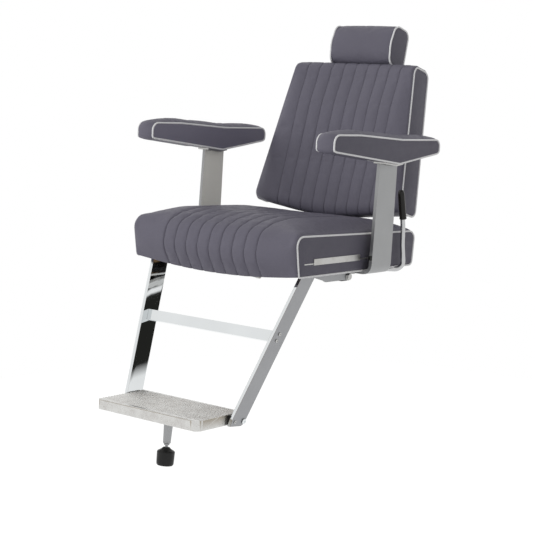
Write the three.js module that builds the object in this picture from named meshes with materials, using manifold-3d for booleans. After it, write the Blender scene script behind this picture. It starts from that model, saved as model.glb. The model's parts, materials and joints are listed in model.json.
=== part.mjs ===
// Upper part of a reclining barber chair: seat, back, headrest, arms, leg rest with a
// folding tread, and the frame and linkage under the seat. Millimetres, +Z up.
// The sitter faces -Y and has +X on the left hand. The origin is the middle of the
// underside of the base plate, where the lifting pump bolts on.

import * as THREE from 'three';
import { mergeVertices } from 'three/addons/utils/BufferGeometryUtils.js';
import Module from 'manifold-3d';

const wasm = await Module();
wasm.setup();

// ---- driving dimensions ----

const gap = 0.3; // between pieces that touch
const seatRake = 4.25; // degrees, front edge up
const seatLift = 30; // underside of the base plate to the underside of the seat

const plate = { halfWidth: 75, halfDepth: 72, thick: 8, corner: 22, holeX: 56, holeY: 52, holeRadius: 6.5 };

// Seat: side outline in the raked plane, y along the seat and z square to it.
const seat = {
  halfWidth: 270, front: -308, frontLow: -291, rear: 227, rearLow: 217,
  frontHeight: 103, rearHeight: 93, frontRadius: 26, rearRadius: 24, lowRadius: 10,
  crown: 27, noseBulge: 9, apronSag: 14, seamSpacing: 38.5, seams: 9, seamDepth: 4,
};
const pocket = { halfWidth: seat.halfWidth - 40, front: -280, rear: 200, height: 28 }; // under the cushion
const barWell = { inner: seat.halfWidth - 44, outer: seat.halfWidth - 9, front: -281, rear: -184, height: 38 };
const board = { thick: 11.5 };

const rail = { inner: 58, thick: 10, low: -14, top: 15.5, rearTop: -0.7, bossRadius: 13 };
const post = { thick: 9, outer: seat.halfWidth + 30, lowWidth: 90, topWidth: 81, lowMiddle: 27, topMiddle: 36.5,
  footInner: seat.halfWidth - 98, footTop: -1, bend: 16 };
const postBolts = [post.footInner + 18, post.footInner + 40];
const outrigger = { front: -50, rear: 72, low: -0.7, thick: 8.4, reach: post.outer - 72, rib: 8 };
const armPad = { middle: post.outer - 1.5, halfWidth: 26.5, front: -243, rear: 238, tipY: 50, tipZ: 277,
  frontLow: 309, frontHigh: 350, kneeY: -130, rearLow: 303, rearHigh: 339, radius: 15, crown: 12 };
const armPlate = { front: -4, rear: 78, halfWidth: 19, thick: 5 };

const backHinge = { y: 238, z: 12 };
const backLean = 15.7; // degrees from square to the seat
const back = {
  lowHalf: seat.halfWidth - 19, topHalf: seat.halfWidth - 70, low: 111, top: 519, front: -94, rear: -22,
  frontLowRadius: 24, frontTopRadius: 30, rearTopRadius: 14, rearLowRadius: 20,
  seams: 9, seamShare: 0.66, seamDepth: 4, lumbar: 14, crown: 4,
};
const backPocket = { front: -58, inset: 22, low: 127, top: back.top - 16 };
const backBoard = { thick: 12 };
const shell = { thick: 4, inset: 16, low: 124, top: back.top - 13 };
const hingeArm = { inner: 68.6, thick: 8, front: -45, rear: -26.5, top: 330, bossRadius: 13 };

const crank = { back: 18, leg: 27 }; // pin radii of the recline linkage
const reclineRange = 45;
const legRange = 30;
const linkEye = { inner: 78, thick: 10, radius: 9, pin: 5, slack: 0.8 };

const stem = { halfWidth: 19, thick: 8, low: back.top - 179, axis: back.top + 63, eye: 9 };
const head = {
  halfWidth: 102, front: -73, brow: -84, browHeight: back.top + 64, topFront: -76, rear: -1,
  topRear: -7, low: back.top + 10, top: back.top + 119, radius: 22, crown: 4, lift: 2.5,
  wellHalf: 30, wellFront: -62, wellRear: -12, wellTop: back.top + 87,
};

const legHinge = { y: -217.7, z: 6 };
const legBar = { half: 26.4, slope: 0.465, outerAtZero: seat.halfWidth - 17.4, splay: 0.1993,
  thick: 9.2, lowZ: -374 };
const legShaft = { radius: 9 };
const bracket = { inner: seat.halfWidth - 38, thick: 6, boltY: -31, boltZ: -19, endRadius: 11.5, low: -27 };
const crossBar = { z: -154, forward: 5, tall: 28, thick: 10, screwStep: 9 };

const tread = {
  halfWidth: legBar.outerAtZero - 86.6, front: -528, rear: -352, top: -341, thick: 27,
  corner: 22, farCorner: 9,
  ribs: 12, ribDepth: 2.4, margin: 18, webs: [78, 84], hingeY: -367, hingeZ: -362 };
const stopPin = { y: -401, z: -359, radius: 4 };
const foot = { y: -440, lean: 4.5, topRadius: 12.5, lowRadius: 9.8, length: 74, neck: 4, ball: 7 };
const bumper = { radius: 22.5, height: 46, drop: 8 };

const lever = {
  x: post.outer - 10, y: 137, axisY: 84, axisZ: -7.5, runZ: -7.5, radius: 6.5, spindle: 4, spindleEnd: 38,
  gripTopY: 117, gripTopZ: 206, gripLowY: 135, gripLowZ: 129, gripRadius: 9.6,
};
const cylinder = { y: -110, z: 3.5, radius: 12, start: 18, end: 228, rod: 5, pin: 4 };
const valve = { inner: 8, outer: 50, front: 96, rear: 118, pinX: 42, pinZ: 4, pinRadius: 3, tipY: 88.4 };

const trim = { y: -133, z: 31, halfLength: 138, bar: 3.2, plateHalf: 100, plateHigh: 16, stand: 4 };
const edgePlug = { y: -16, z: 34, radius: 4, high: 12 };

// ---- finishes ----

const finish = (color, roughness, metalness) =>
  new THREE.MeshStandardMaterial({ color, roughness, metalness });
const upholstery = finish('#65626e', 0.62, 0);
const chrome = finish('#c9cccf', 0.08, 1);
const steel = finish('#8b8f93', 0.35, 1);
const frameBlack = finish('#232427', 0.5, 0.4);
const plywood = finish('#b08a5a', 0.7, 0);
const aluminium = finish('#c3c2bd', 0.35, 1);
const rubber = finish('#141414', 0.8, 0);
const grip = finish('#171512', 0.45, 0);

// ---- geometry helpers ----

const ascending = (first, second) => first - second;
const rad = (degrees) => (degrees * Math.PI) / 180;

function solidOf(geometry) {
  const bare = geometry.index ? geometry.toNonIndexed() : geometry.clone();
  bare.deleteAttribute('normal');
  bare.deleteAttribute('uv');
  const merged = mergeVertices(bare, 1e-4);
  return new wasm.Manifold(new wasm.Mesh({
    numProp: 3,
    vertProperties: new Float32Array(merged.attributes.position.array),
    triVerts: new Uint32Array(merged.index.array),
  }));
}

function geometryOf(solid) {
  const mesh = solid.getMesh();
  const geometry = new THREE.BufferGeometry();
  geometry.setAttribute('position', new THREE.BufferAttribute(mesh.vertProperties, 3));
  geometry.setIndex(new THREE.BufferAttribute(mesh.triVerts, 1));
  geometry.computeVertexNormals();
  return geometry;
}

const join = (first, ...others) =>
  geometryOf(others.reduce((sum, other) => sum.add(solidOf(other)), solidOf(first)));
const cut = (first, ...tools) =>
  geometryOf(tools.reduce((rest, tool) => rest.subtract(solidOf(tool)), solidOf(first)));

// Moves every vertex of a geometry by a function of its place.
function reshape(geometry, move) {
  const place = geometry.attributes.position;
  for (let i = 0; i < place.count; i += 1) {
    const moved = move(place.getX(i), place.getY(i), place.getZ(i));
    place.setXYZ(i, ...moved);
  }
  return geometry;
}

function block(x0, x1, y0, y1, z0, z1) {
  const box = new THREE.BoxGeometry(x1 - x0, y1 - y0, z1 - z0);
  return box.translate((x0 + x1) / 2, (y0 + y1) / 2, (z0 + z1) / 2);
}

// A round bar along X between x0 and x1.
function barX(y, z, radius, x0, x1, sides = 16) {
  const bar = new THREE.CylinderGeometry(radius, radius, x1 - x0, sides);
  return bar.rotateZ(-Math.PI / 2).translate((x0 + x1) / 2, y, z);
}

// A round bar between two points.
function barBetween(from, to, radius, sides = 16) {
  const along = new THREE.Vector3().subVectors(to, from);
  const bar = new THREE.CylinderGeometry(radius, radius, along.length(), sides);
  const upward = new THREE.Vector3(0, 1, 0);
  const turn = new THREE.Quaternion().setFromUnitVectors(upward, along.clone().normalize());
  bar.applyQuaternion(turn);
  return bar.translate(...new THREE.Vector3().addVectors(from, to).multiplyScalar(0.5).toArray());
}

// A plate whose outline lies in the Y-Z plane, from x0 to x1.
function plateX(outline, x0, x1) {
  const shape = new THREE.Shape(outline.map(([y, z]) => new THREE.Vector2(y, z)));
  const slab = new THREE.ExtrudeGeometry(shape, { depth: x1 - x0, bevelEnabled: false });
  const turn = new THREE.Matrix4().makeBasis(
    new THREE.Vector3(0, 1, 0), new THREE.Vector3(0, 0, 1), new THREE.Vector3(1, 0, 0));
  return slab.applyMatrix4(turn).translate(x0, 0, 0);
}

// A solid of revolution about the Z axis through (0, 0).
function turned(profile, sides = 24) {
  const points = profile.map(([radius, z]) => new THREE.Vector2(radius, z));
  return new THREE.LatheGeometry(points, sides).rotateX(Math.PI / 2);
}

// Points of an arc, angles in degrees, both ends included.
function arc(centreY, centreZ, radius, from, to, steps) {
  return Array.from({ length: steps + 1 }, (_, i) => {
    const angle = rad(from + ((to - from) * i) / steps);
    return [centreY + radius * Math.cos(angle), centreZ + radius * Math.sin(angle)];
  });
}

// A closed polygon whose corners [y, z, radius, steps] are rounded.
function rounded(corners) {
  const points = [];
  corners.forEach(([y, z, radius, steps = 3], i) => {
    const here = new THREE.Vector2(y, z);
    const last = corners[(i + corners.length - 1) % corners.length];
    const next = corners[(i + 1) % corners.length];
    const backward = new THREE.Vector2(last[0], last[1]).sub(here).normalize();
    const ahead = new THREE.Vector2(next[0], next[1]).sub(here).normalize();
    const half = Math.acos(THREE.MathUtils.clamp(backward.dot(ahead), -1, 1)) / 2;
    const reach = radius / Math.tan(half);
    const start = here.clone().addScaledVector(backward, reach);
    const end = here.clone().addScaledVector(ahead, reach);
    for (let k = 0; k <= steps; k += 1) {
      const t = k / steps;
      const a = (1 - t) * (1 - t);
      const b = 2 * t * (1 - t);
      const bow = 2 * t * (1 - t) * (Math.SQRT2 - 1) * 0.35;
      const point = new THREE.Vector2(
        a * start.x + b * here.x + t * t * end.x, a * start.y + b * here.y + t * t * end.y);
      point.lerp(start.clone().add(end).multiplyScalar(0.5), bow);
      points.push([point.x, point.y]);
    }
  });
  return points;
}

// Adds points along the edges of a closed polygon that are longer than the step.
function divided(outline, step) {
  return outline.flatMap(([y, z], i) => {
    const [nextY, nextZ] = outline[(i + 1) % outline.length];
    const parts = Math.max(1, Math.round(Math.hypot(nextY - y, nextZ - z) / step));
    return Array.from({ length: parts }, (_, k) =>
      [y + ((nextY - y) * k) / parts, z + ((nextZ - z) * k) / parts]);
  });
}

// Joins closed rings of equal length into one solid with fanned ends.
function loft(rings) {
  const count = rings[0].length;
  const places = rings.flat().flat();
  const faces = [];
  for (let r = 0; r + 1 < rings.length; r += 1) {
    for (let k = 0; k < count; k += 1) {
      const a = r * count + k;
      const b = r * count + ((k + 1) % count);
      faces.push(a, b, b + count, a, b + count, a + count);
    }
  }
  const capEnd = (start, flip) => {
    const ring = Array.from({ length: count }, (_, k) => places.slice(3 * (start + k), 3 * (start + k) + 3));
    const middle = [0, 1, 2].map((axis) => ring.reduce((sum, point) => sum + point[axis], 0) / count);
    const centre = places.length / 3;
    places.push(...middle);
    for (let k = 0; k < count; k += 1) {
      const pair = [start + k, start + ((k + 1) % count)];
      faces.push(centre, ...(flip ? pair.reverse() : pair));
    }
  };
  capEnd(0, true);
  capEnd((rings.length - 1) * count, false);
  const geometry = new THREE.BufferGeometry();
  geometry.setAttribute('position', new THREE.Float32BufferAttribute(places, 3));
  geometry.setIndex(faces);
  const solid = solidOf(geometry);
  if (solid.volume() > 0) return geometryOf(solid);
  geometry.setIndex(faces.map((_, i) => faces[i - (i % 3) + 2 - (i % 3)]));
  return geometryOf(solidOf(geometry));
}

// Stations across a cushion, from -1 to 1: seams at even steps with a crest between them,
// then the plain bolsters. Each is [share of the half width, depth of the seam there].
function channelStations(seams, reach, depth) {
  const bolster = [1, 0.985, 0.93, 0.82];
  const crest = -0.8;
  const left = bolster.map((s) => [-s, 0]);
  const middle = Array.from({ length: 2 * seams - 1 }, (_, i) =>
    [reach * (i / (seams - 1) - 1), i % 2 === 0 ? depth : crest]);
  return [...left, ...middle, ...bolster.reverse().map((s) => [s, 0])];
}

// How far a cushion swells at a share s of its half width: nothing at the piped edge.
const swell = (s) => (1 - s ** 6) * (0.45 + 0.55 * (1 - s * s));
const fullSwell = (s) => (1 - s ** 10) * (0.8 + 0.2 * (1 - s * s));

// ---- assembly helpers ----

const chair = new THREE.Group();
const raked = new THREE.Group();
raked.position.z = seatLift;
raked.rotation.x = -rad(seatRake);
chair.add(raked);
const leaned = new THREE.Group();
leaned.position.set(0, backHinge.y, backHinge.z);
leaned.rotation.x = -rad(backLean);
raked.add(leaned);

function add(group, name, geometry, material) {
  const mesh = new THREE.Mesh(geometry, material);
  mesh.name = name;
  group.add(mesh);
}

const sides = [['left', 1], ['right', -1]];
const addPair = (group, name, geometry, material) => {
  const solid = solidOf(geometry);
  add(group, `${name}_left`, geometryOf(solid), material);
  add(group, `${name}_right`, geometryOf(solid.mirror([1, 0, 0])), material);
};

// ---- base plate and seat frame ----

// Height of a level z of the chair in the raked plane, at a place y along the seat.
const rakedHeight = (z, y) => (z - seatLift + y * Math.sin(rad(seatRake))) / Math.cos(rad(seatRake));

function basePlate() {
  const outline = rounded([
    [plate.halfWidth, plate.halfDepth, plate.corner, 5], [-plate.halfWidth, plate.halfDepth, plate.corner, 5],
    [-plate.halfWidth, -plate.halfDepth, plate.corner, 5],
    [plate.halfWidth, -plate.halfDepth, plate.corner, 5]]);
  const shape = new THREE.Shape(outline.map(([x, y]) => new THREE.Vector2(x, y)));
  const slab = new THREE.ExtrudeGeometry(shape, { depth: plate.thick, bevelEnabled: false });
  const hole = (x, y) => turned([[0, -1], [plate.holeRadius, -1], [plate.holeRadius, plate.thick + 1],
    [0, plate.thick + 1]], 16).translate(x, y, 0);
  const corners = [[1, 1], [1, -1], [-1, 1], [-1, -1]];
  return cut(slab, ...corners.map(([a, b]) => hole(a * plate.holeX, b * plate.holeY)));
}
add(chair, 'base_plate', basePlate(), steel);

function railOutline() {
  const restTop = (y) => rakedHeight(plate.thick + gap, y);
  const half = plate.halfDepth - 4;
  return [
    [legHinge.y - 16, rail.low + 4], [legHinge.y - 18, legHinge.z], [legHinge.y - 13, rail.top],
    [pocket.rear - 4, rail.top], [pocket.rear - 4, rail.rearTop], [backHinge.y - 17, rail.rearTop],
    ...arc(backHinge.y, backHinge.z, rail.bossRadius, 190, -50, 9),
    [backHinge.y - 12, rail.low], [half + 5, rail.low], [half, restTop(half)], [-half, restTop(-half)],
    [-half - 5, rail.low], [legHinge.y - 8, rail.low],
  ];
}

function seatFrame() {
  const outline = railOutline();
  const outer = rail.inner + rail.thick;
  const pieces = [];
  for (const [, side] of sides) {
    const [x0, x1] = side > 0 ? [rail.inner, outer] : [-outer, -rail.inner];
    const reach = side > 0 ? [outer - 4, outrigger.reach] : [-outrigger.reach, 4 - outer];
    const padReach = side > 0 ? [outer - 4, 130] : [-130, 4 - outer];
    const tabEnd = bracket.inner - gap;
    const tab = side > 0 ? [tabEnd - 10, tabEnd] : [-tabEnd, 10 - tabEnd];
    const tabRear = post.lowMiddle - post.lowWidth / 2 - 1.5;
    const neck = side > 0 ? [tab[0], outrigger.reach] : [-outrigger.reach, tab[1]];
    const top = outrigger.low + outrigger.thick;
    pieces.push(
      plateX(outline, x0, x1),
      block(...reach, outrigger.front, outrigger.rear, outrigger.low, top),
      block(...reach, outrigger.front, outrigger.front + outrigger.rib, top - 1, rail.top),
      block(...reach, outrigger.rear - outrigger.rib, outrigger.rear, top - 1, rail.top),
      block(...padReach, outrigger.rear - 1, outrigger.rear + 30, outrigger.low, top),
      block(...tab, outrigger.front, tabRear, bracket.low - 4, outrigger.low - gap),
      block(...neck, outrigger.front, tabRear, outrigger.low - 2, top));
  }
  pieces.push(
    block(-rail.inner - 1, rail.inner + 1, -152, -134, -8, rail.top),
    block(-rail.inner - 1, rail.inner + 1, 148, 176, 5, rail.top));
  for (const x of [-14.5, 8.5]) {
    pieces.push(block(x, x + 6, -136, cylinder.y + 9, cylinder.z - 9, cylinder.z + 9));
  }
  const bores = [
    barX(legHinge.y, legHinge.z, legShaft.radius + gap, -90, 90, 20),
    barX(backHinge.y, backHinge.z, 7 + gap, -90, 90, 20),
    barX(lever.axisY, lever.axisZ, lever.spindle + gap, 40, 90, 16),
    barX(cylinder.y, cylinder.z, cylinder.pin + gap, -20, 20, 16)];
  for (const [, side] of sides) {
    const middle = side * (bracket.inner - 7);
    bores.push(barX(bracket.boltY, bracket.boltZ, 5 + gap, middle - 10, middle + 10, 16));
    for (const x of postBolts) {
      const bore = turned([[0, -30], [4 + gap, -30], [4 + gap, 30], [0, 30]], 16);
      bores.push(bore.translate(side * x, post.lowMiddle, 0));
    }
  }
  return cut(join(...pieces), ...bores);
}
add(raked, 'seat_frame', seatFrame(), frameBlack);

// Hex head with a round shank along +X from the face at x: the shank goes back to x - length.
function hexBolt(y, z, x, headRadius, headHigh, shank, length) {
  const hexHead = new THREE.CylinderGeometry(headRadius, headRadius, headHigh, 6)
    .rotateZ(-Math.PI / 2).translate(x + headHigh / 2, y, z);
  const washer = barX(y, z, headRadius * 1.18, x, x + 1.6, 16);
  return join(hexHead, washer, barX(y, z, shank, x - length, x + 0.5, 16));
}

// ---- seat ----

const boardLow = pocket.height - gap - board.thick;
add(raked, 'seat_board', block(
  -pocket.halfWidth + gap, pocket.halfWidth - gap, pocket.front + gap, pocket.rear - gap,
  boardLow, boardLow + board.thick), plywood);

function seatCushion() {
  const outline = divided(rounded([
    [seat.rearLow, 0, seat.lowRadius, 2], [seat.rear, seat.rearHeight, seat.rearRadius, 4],
    [seat.front, seat.frontHeight, seat.frontRadius, 5], [seat.frontLow, 0, seat.lowRadius, 2]]), 66);
  const seamReach = (seat.seamSpacing * (seat.seams - 1)) / 2 / seat.halfWidth;
  const rings = channelStations(seat.seams, seamReach, seat.seamDepth)
    .map(([s, groove]) => outline.map(([y, z]) => {
      const up = THREE.MathUtils.smoothstep(z, 0.45 * seat.rearHeight, seat.rearHeight);
      const ahead = 1 - THREE.MathUtils.smoothstep(y, seat.front, seat.front + 34);
      const nose = Math.sin(Math.PI * THREE.MathUtils.clamp(z / seat.frontHeight, 0, 1)) * ahead;
      const under = (1 - THREE.MathUtils.smoothstep(z, 0, 0.5 * seat.frontHeight))
        * (1 - THREE.MathUtils.smoothstep(y, seat.front + 20, seat.front + 105));
      const along = (0.42 + 0.58 * THREE.MathUtils.smoothstep(y, seat.front, seat.front + 138))
        * (1 - 0.65 * THREE.MathUtils.smoothstep(y, seat.rear - 77, seat.rear));
      const rise = fullSwell(s) * seat.crown * up * along;
      const sewn = groove * Math.max(up * (1 - 0.4 * THREE.MathUtils.smoothstep(y, 120, 220)), ahead);
      const sag = under * seat.apronSag * (1 - s * s);
      return [s * seat.halfWidth,
        y - seat.noseBulge * nose * swell(s) + (ahead > 0.5 ? sewn * (1 - up) : 0),
        z + rise - sewn * up - sag];
    }));
  const wells = sides.map(([, side]) => (side > 0
    ? block(barWell.inner, barWell.outer, barWell.front, barWell.rear, -40, barWell.height)
    : block(-barWell.outer, -barWell.inner, barWell.front, barWell.rear, -40, barWell.height)));
  const rodNotch = block(-cylinder.rod - 3, cylinder.rod + 3, pocket.rear - 2, seat.rear + 5, -5, 4);
  return cut(loft(rings),
    block(-pocket.halfWidth, pocket.halfWidth, pocket.front, pocket.rear, -40, pocket.height),
    rodNotch, ...wells);
}
add(raked, 'seat_cushion', seatCushion(), upholstery);

// Plain bright bar with a blank plate, on both side panels of the seat.
function trimBar() {
  const x = seat.halfWidth + gap;
  return join(
    block(x, x + trim.stand * 0.7, trim.y - trim.halfLength, trim.y + trim.halfLength,
      trim.z - trim.bar / 2, trim.z + trim.bar / 2),
    block(x, x + trim.stand, trim.y - trim.plateHalf, trim.y + trim.plateHalf,
      trim.z - 4, trim.z - 4 + trim.plateHigh));
}
addPair(raked, 'trim_bar', trimBar(), chrome);

// ---- arms ----

// Underside of the arm pad at a place y along it.
const padLow = (y) => (y < armPad.tipY
  ? armPad.tipZ + ((armPad.tipY - y) * (armPad.frontLow - armPad.tipZ)) / (armPad.tipY - armPad.front)
  : armPad.tipZ + ((y - armPad.tipY) * (armPad.rearLow - armPad.tipZ)) / (armPad.rear - armPad.tipY));

function armPost() {
  const outer = post.outer;
  const inner = outer - post.thick;
  const footLow = post.footTop - post.thick;
  const section = [
    [post.footInner, footLow], ...arc(outer - post.bend - post.thick, footLow + post.bend + post.thick,
      post.bend + post.thick, 270, 360, 4),
    [outer, armPad.tipZ + 30], [inner, armPad.tipZ + 30],
    ...arc(outer - post.bend - post.thick, footLow + post.bend + post.thick, post.bend, 360, 270, 4),
    [post.footInner, post.footTop]];
  const shape = new THREE.Shape(section.map(([x, z]) => new THREE.Vector2(x, z)));
  const strip = new THREE.ExtrudeGeometry(shape, { depth: 1, bevelEnabled: false });
  strip.rotateX(Math.PI / 2);
  const shaped = reshape(strip, (x, y, z) => {
    const share = THREE.MathUtils.clamp(z / armPad.tipZ, 0, 1.2);
    const width = THREE.MathUtils.lerp(post.lowWidth, post.topWidth, share);
    const middle = THREE.MathUtils.lerp(post.lowMiddle, post.topMiddle, share);
    return [x, middle + width * (-y - 0.5) * -1, z];
  });
  const lowered = (y) => padLow(y) - armPlate.thick - 2 * gap;
  const above = plateX([[-60, lowered(-60)], [armPad.tipY, lowered(armPad.tipY)], [140, lowered(140)],
    [140, 400], [-60, 400]], outer - 40, outer + 10);
  const holes = postBolts.map((x) =>
    turned([[0, -30], [4 + gap, -30], [4 + gap, 30], [0, 30]], 16).translate(x, post.lowMiddle, 0));
  const middle = outer - post.thick / 2;
  const socket = block(middle - edgePlug.radius + gap, middle + edgePlug.radius - gap,
    -60, edgePlug.y, edgePlug.z - edgePlug.high / 2, edgePlug.z + edgePlug.high / 2);
  return cut(shaped, above, ...holes, socket);
}
addPair(raked, 'arm_post', armPost(), chrome);

function postPlug() {
  const x = post.outer - post.thick / 2;
  const half = edgePlug.radius - 2 * gap;
  return block(x - half, x + half, edgePlug.y - 7, edgePlug.y - gap,
    edgePlug.z - edgePlug.high / 2 + gap, edgePlug.z + edgePlug.high / 2 - gap);
}
addPair(raked, 'post_plug', postPlug(), rubber);

for (const [word, side] of sides) {
  [['inner', postBolts[0]], ['outer', postBolts[1]]].forEach(([place, x]) => {
    const shankTop = post.thick + outrigger.thick - 0.5;
    const bolt = join(
      turned([[0, -7.4], [7.2, -7.4], [7.2, -1.4], [0, -1.4]], 6),
      turned([[0, -1.6], [8.4, -1.6], [8.4, 0], [0, 0]], 16),
      turned([[0, -0.2], [4, -0.2], [4, shankTop], [0, shankTop]], 16));
    add(raked, `post_bolt_${place}_${word}`,
      bolt.translate(side * x, post.lowMiddle, post.footTop - post.thick - gap), steel);
  });
}

function armPlateShape() {
  const top = (y) => padLow(y) - gap;
  const low = (y) => top(y) - armPlate.thick;
  const outline = [[armPlate.front, low(armPlate.front)], [armPad.tipY, low(armPad.tipY)],
    [armPlate.rear, low(armPlate.rear)], [armPlate.rear, top(armPlate.rear)],
    [armPad.tipY, top(armPad.tipY)], [armPlate.front, top(armPlate.front)]];
  return plateX(outline, armPad.middle - armPlate.halfWidth, armPad.middle + armPlate.halfWidth);
}
addPair(raked, 'arm_plate', armPlateShape(), steel);

function armCushion() {
  const outline = divided(rounded([
    [armPad.tipY, armPad.tipZ, 6, 1], [armPad.rear, armPad.rearLow, armPad.radius, 3],
    [armPad.rear, armPad.rearHigh, armPad.radius, 3], [armPad.kneeY + 190, armPad.rearHigh, 40, 1],
    [armPad.kneeY, armPad.frontHigh, 40, 1],
    [armPad.front, armPad.frontHigh, armPad.radius + 3, 3], [armPad.front, armPad.frontLow, 8, 2]]), 60);
  const rings = [-1, -0.9, -0.62, -0.22, 0.22, 0.62, 0.9, 1].map((s) => outline.map(([y, z]) => {
    const top = THREE.MathUtils.smoothstep(z, armPad.rearHigh - 18, armPad.rearHigh);
    const end = Math.min(1, (y - armPad.front) / 60, (armPad.rear - y) / 60);
    const nose = 1 - THREE.MathUtils.smoothstep(y, armPad.front, armPad.front + 25);
    const tail = THREE.MathUtils.smoothstep(y, armPad.rear - 20, armPad.rear);
    return [armPad.middle + s * armPad.halfWidth,
      y + (tail - nose) * 5 * (1 - s * s),
      z + top * armPad.crown * (0.4 + 0.6 * Math.max(0, end)) * (1 - s * s)];
  }));
  return loft(rings);
}
addPair(raked, 'arm_pad', armCushion(), upholstery);

// ---- recline release lever ----

// A place on the grip's axis: 0 at its lower end, 1 at its top.
const onGrip = (share) => new THREE.Vector3(lever.x, lever.gripLowY, lever.gripLowZ)
  .lerp(new THREE.Vector3(lever.x, lever.gripTopY, lever.gripTopZ), share);

function leverRod() {
  const { x, axisY, runZ, radius } = lever;
  const path = new THREE.CatmullRomCurve3([
    ...[0.85, 0.55, 0.2, -0.12].map((share) => onGrip(share).toArray()),
    [x, lever.y, 84], [x, lever.y + 3, 54], [x, lever.y + 9, 24], [x - 3, lever.y + 11, 6],
    [x - 14, lever.y + 1, runZ + 2], [x - 34, lever.y - 14, runZ], [x - 60, axisY + 19, runZ],
    [x - 84, axisY + 2, runZ], [x - 110, axisY, runZ], [150, axisY, runZ], [98, axisY, runZ],
  ].map((p) => new THREE.Vector3(...p)), false, 'centripetal');
  const section = new THREE.Shape(arc(0, 0, radius, 0, 330, 11).map(([a, b]) => new THREE.Vector2(a, b)));
  const tube = new THREE.ExtrudeGeometry(section, { steps: 34, bevelEnabled: false, extrudePath: path });
  const spindle = barX(axisY, lever.axisZ, lever.spindle, lever.spindleEnd, 102, 16);
  const finger = plateX([
    [axisY - 4, lever.axisZ - 5], [axisY + 4, lever.axisZ - 5], [axisY + 4, lever.axisZ + 16],
    [axisY - 4, lever.axisZ + 16]], lever.spindleEnd, lever.spindleEnd + 8);
  return join(tube, spindle, finger);
}
add(raked, 'lever_rod', leverRod(), chrome);

// The rod's upper end sits in the bore of the grip.
function leverGrip() {
  const length = onGrip(0).distanceTo(onGrip(1));
  const r = lever.gripRadius;
  const body = turned([
    [0, 0], [r - 0.8, 0], [r, 1.2], [r - 0.3, length * 0.45], [r - 0.9, length - 6],
    [r - 2.6, length - 2.2], [r - 5.2, length], [0, length + 0.8]], 16);
  const tilt = Math.atan2(lever.gripLowY - lever.gripTopY, lever.gripTopZ - lever.gripLowZ);
  body.rotateX(tilt).translate(lever.x, lever.gripLowY, lever.gripLowZ);
  return cut(body, barBetween(onGrip(-0.1), onGrip(0.88), lever.radius + 0.7, 16));
}
add(raked, 'lever_grip', leverGrip(), grip);

function leverBearing() {
  const { axisY, runZ, radius } = lever;
  const body = block(104, 124, axisY - 14, axisY + 14, runZ - 12, outrigger.low - gap);
  const slot = block(100, 128, axisY - radius - gap, axisY + radius + gap, runZ, 10);
  return cut(body, barX(axisY, runZ, radius + gap, 100, 128, 16), slot);
}
add(raked, 'lever_bearing', leverBearing(), steel);

// ---- recline cylinder and valve ----

const crankPin = (radius, degrees, hinge) => ({
  y: hinge.y + radius * Math.sin(rad(degrees)), z: hinge.z - radius * Math.cos(rad(degrees)) });
const backPin = crankPin(crank.back, reclineRange / 2, backHinge);
const legPin = crankPin(crank.leg, legRange / 2, legHinge);
const rodSag = crank.back * (1 - Math.cos(rad(reclineRange / 2)));

const cylinderLength = Math.hypot(backPin.y - cylinder.y, backPin.z - cylinder.z);
const cylinderTilt = Math.atan2(backPin.z - cylinder.z, backPin.y - cylinder.y);
const onCylinder = (distance) => new THREE.Vector3(0,
  cylinder.y + distance * Math.cos(cylinderTilt), cylinder.z + distance * Math.sin(cylinderTilt));

function reclineCylinder() {
  const eye = barX(cylinder.y, cylinder.z, 9, -8, 8, 16);
  const neck = barBetween(onCylinder(4), onCylinder(cylinder.start + 2), 6, 16);
  const tube = barBetween(onCylinder(cylinder.start), onCylinder(cylinder.end), cylinder.radius, 20);
  const boss = block(valve.inner, valve.outer, valve.front, valve.rear, valve.pinZ - 9, valve.pinZ + 8);
  const bore = barBetween(onCylinder(40), onCylinder(cylinder.end + 5), cylinder.rod + gap, 16);
  const valveBore = barBetween(new THREE.Vector3(valve.pinX, valve.front - 5, valve.pinZ),
    new THREE.Vector3(valve.pinX, valve.rear - 3, valve.pinZ), valve.pinRadius + gap, 12);
  const pinBore = barX(cylinder.y, cylinder.z, cylinder.pin + gap, -12, 12, 16);
  return cut(join(tube, neck, eye, boss), bore, valveBore, pinBore);
}
add(raked, 'recline_cylinder', reclineCylinder(), steel);
add(raked, 'cylinder_pin', barX(cylinder.y, cylinder.z, cylinder.pin, -17, 17, 16), steel);

function reclineRod() {
  const rod = barBetween(onCylinder(60), onCylinder(cylinderLength - 9), cylinder.rod, 16);
  const eye = barX(backPin.y, backPin.z, linkEye.pin + rodSag + 5.5, -7, 7, 20);
  return cut(join(rod, eye), barX(backPin.y, backPin.z, linkEye.pin + rodSag + gap, -9, 9, 16));
}
add(raked, 'recline_rod', reclineRod(), chrome);
add(raked, 'valve_pin', barBetween(
  new THREE.Vector3(valve.pinX, valve.tipY, valve.pinZ),
  new THREE.Vector3(valve.pinX, valve.rear - 9, valve.pinZ),
  valve.pinRadius, 12), chrome);

// ---- back ----

const backWidth = (z) => THREE.MathUtils.mapLinear(z, back.low, back.top, back.lowHalf, back.topHalf);

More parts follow.
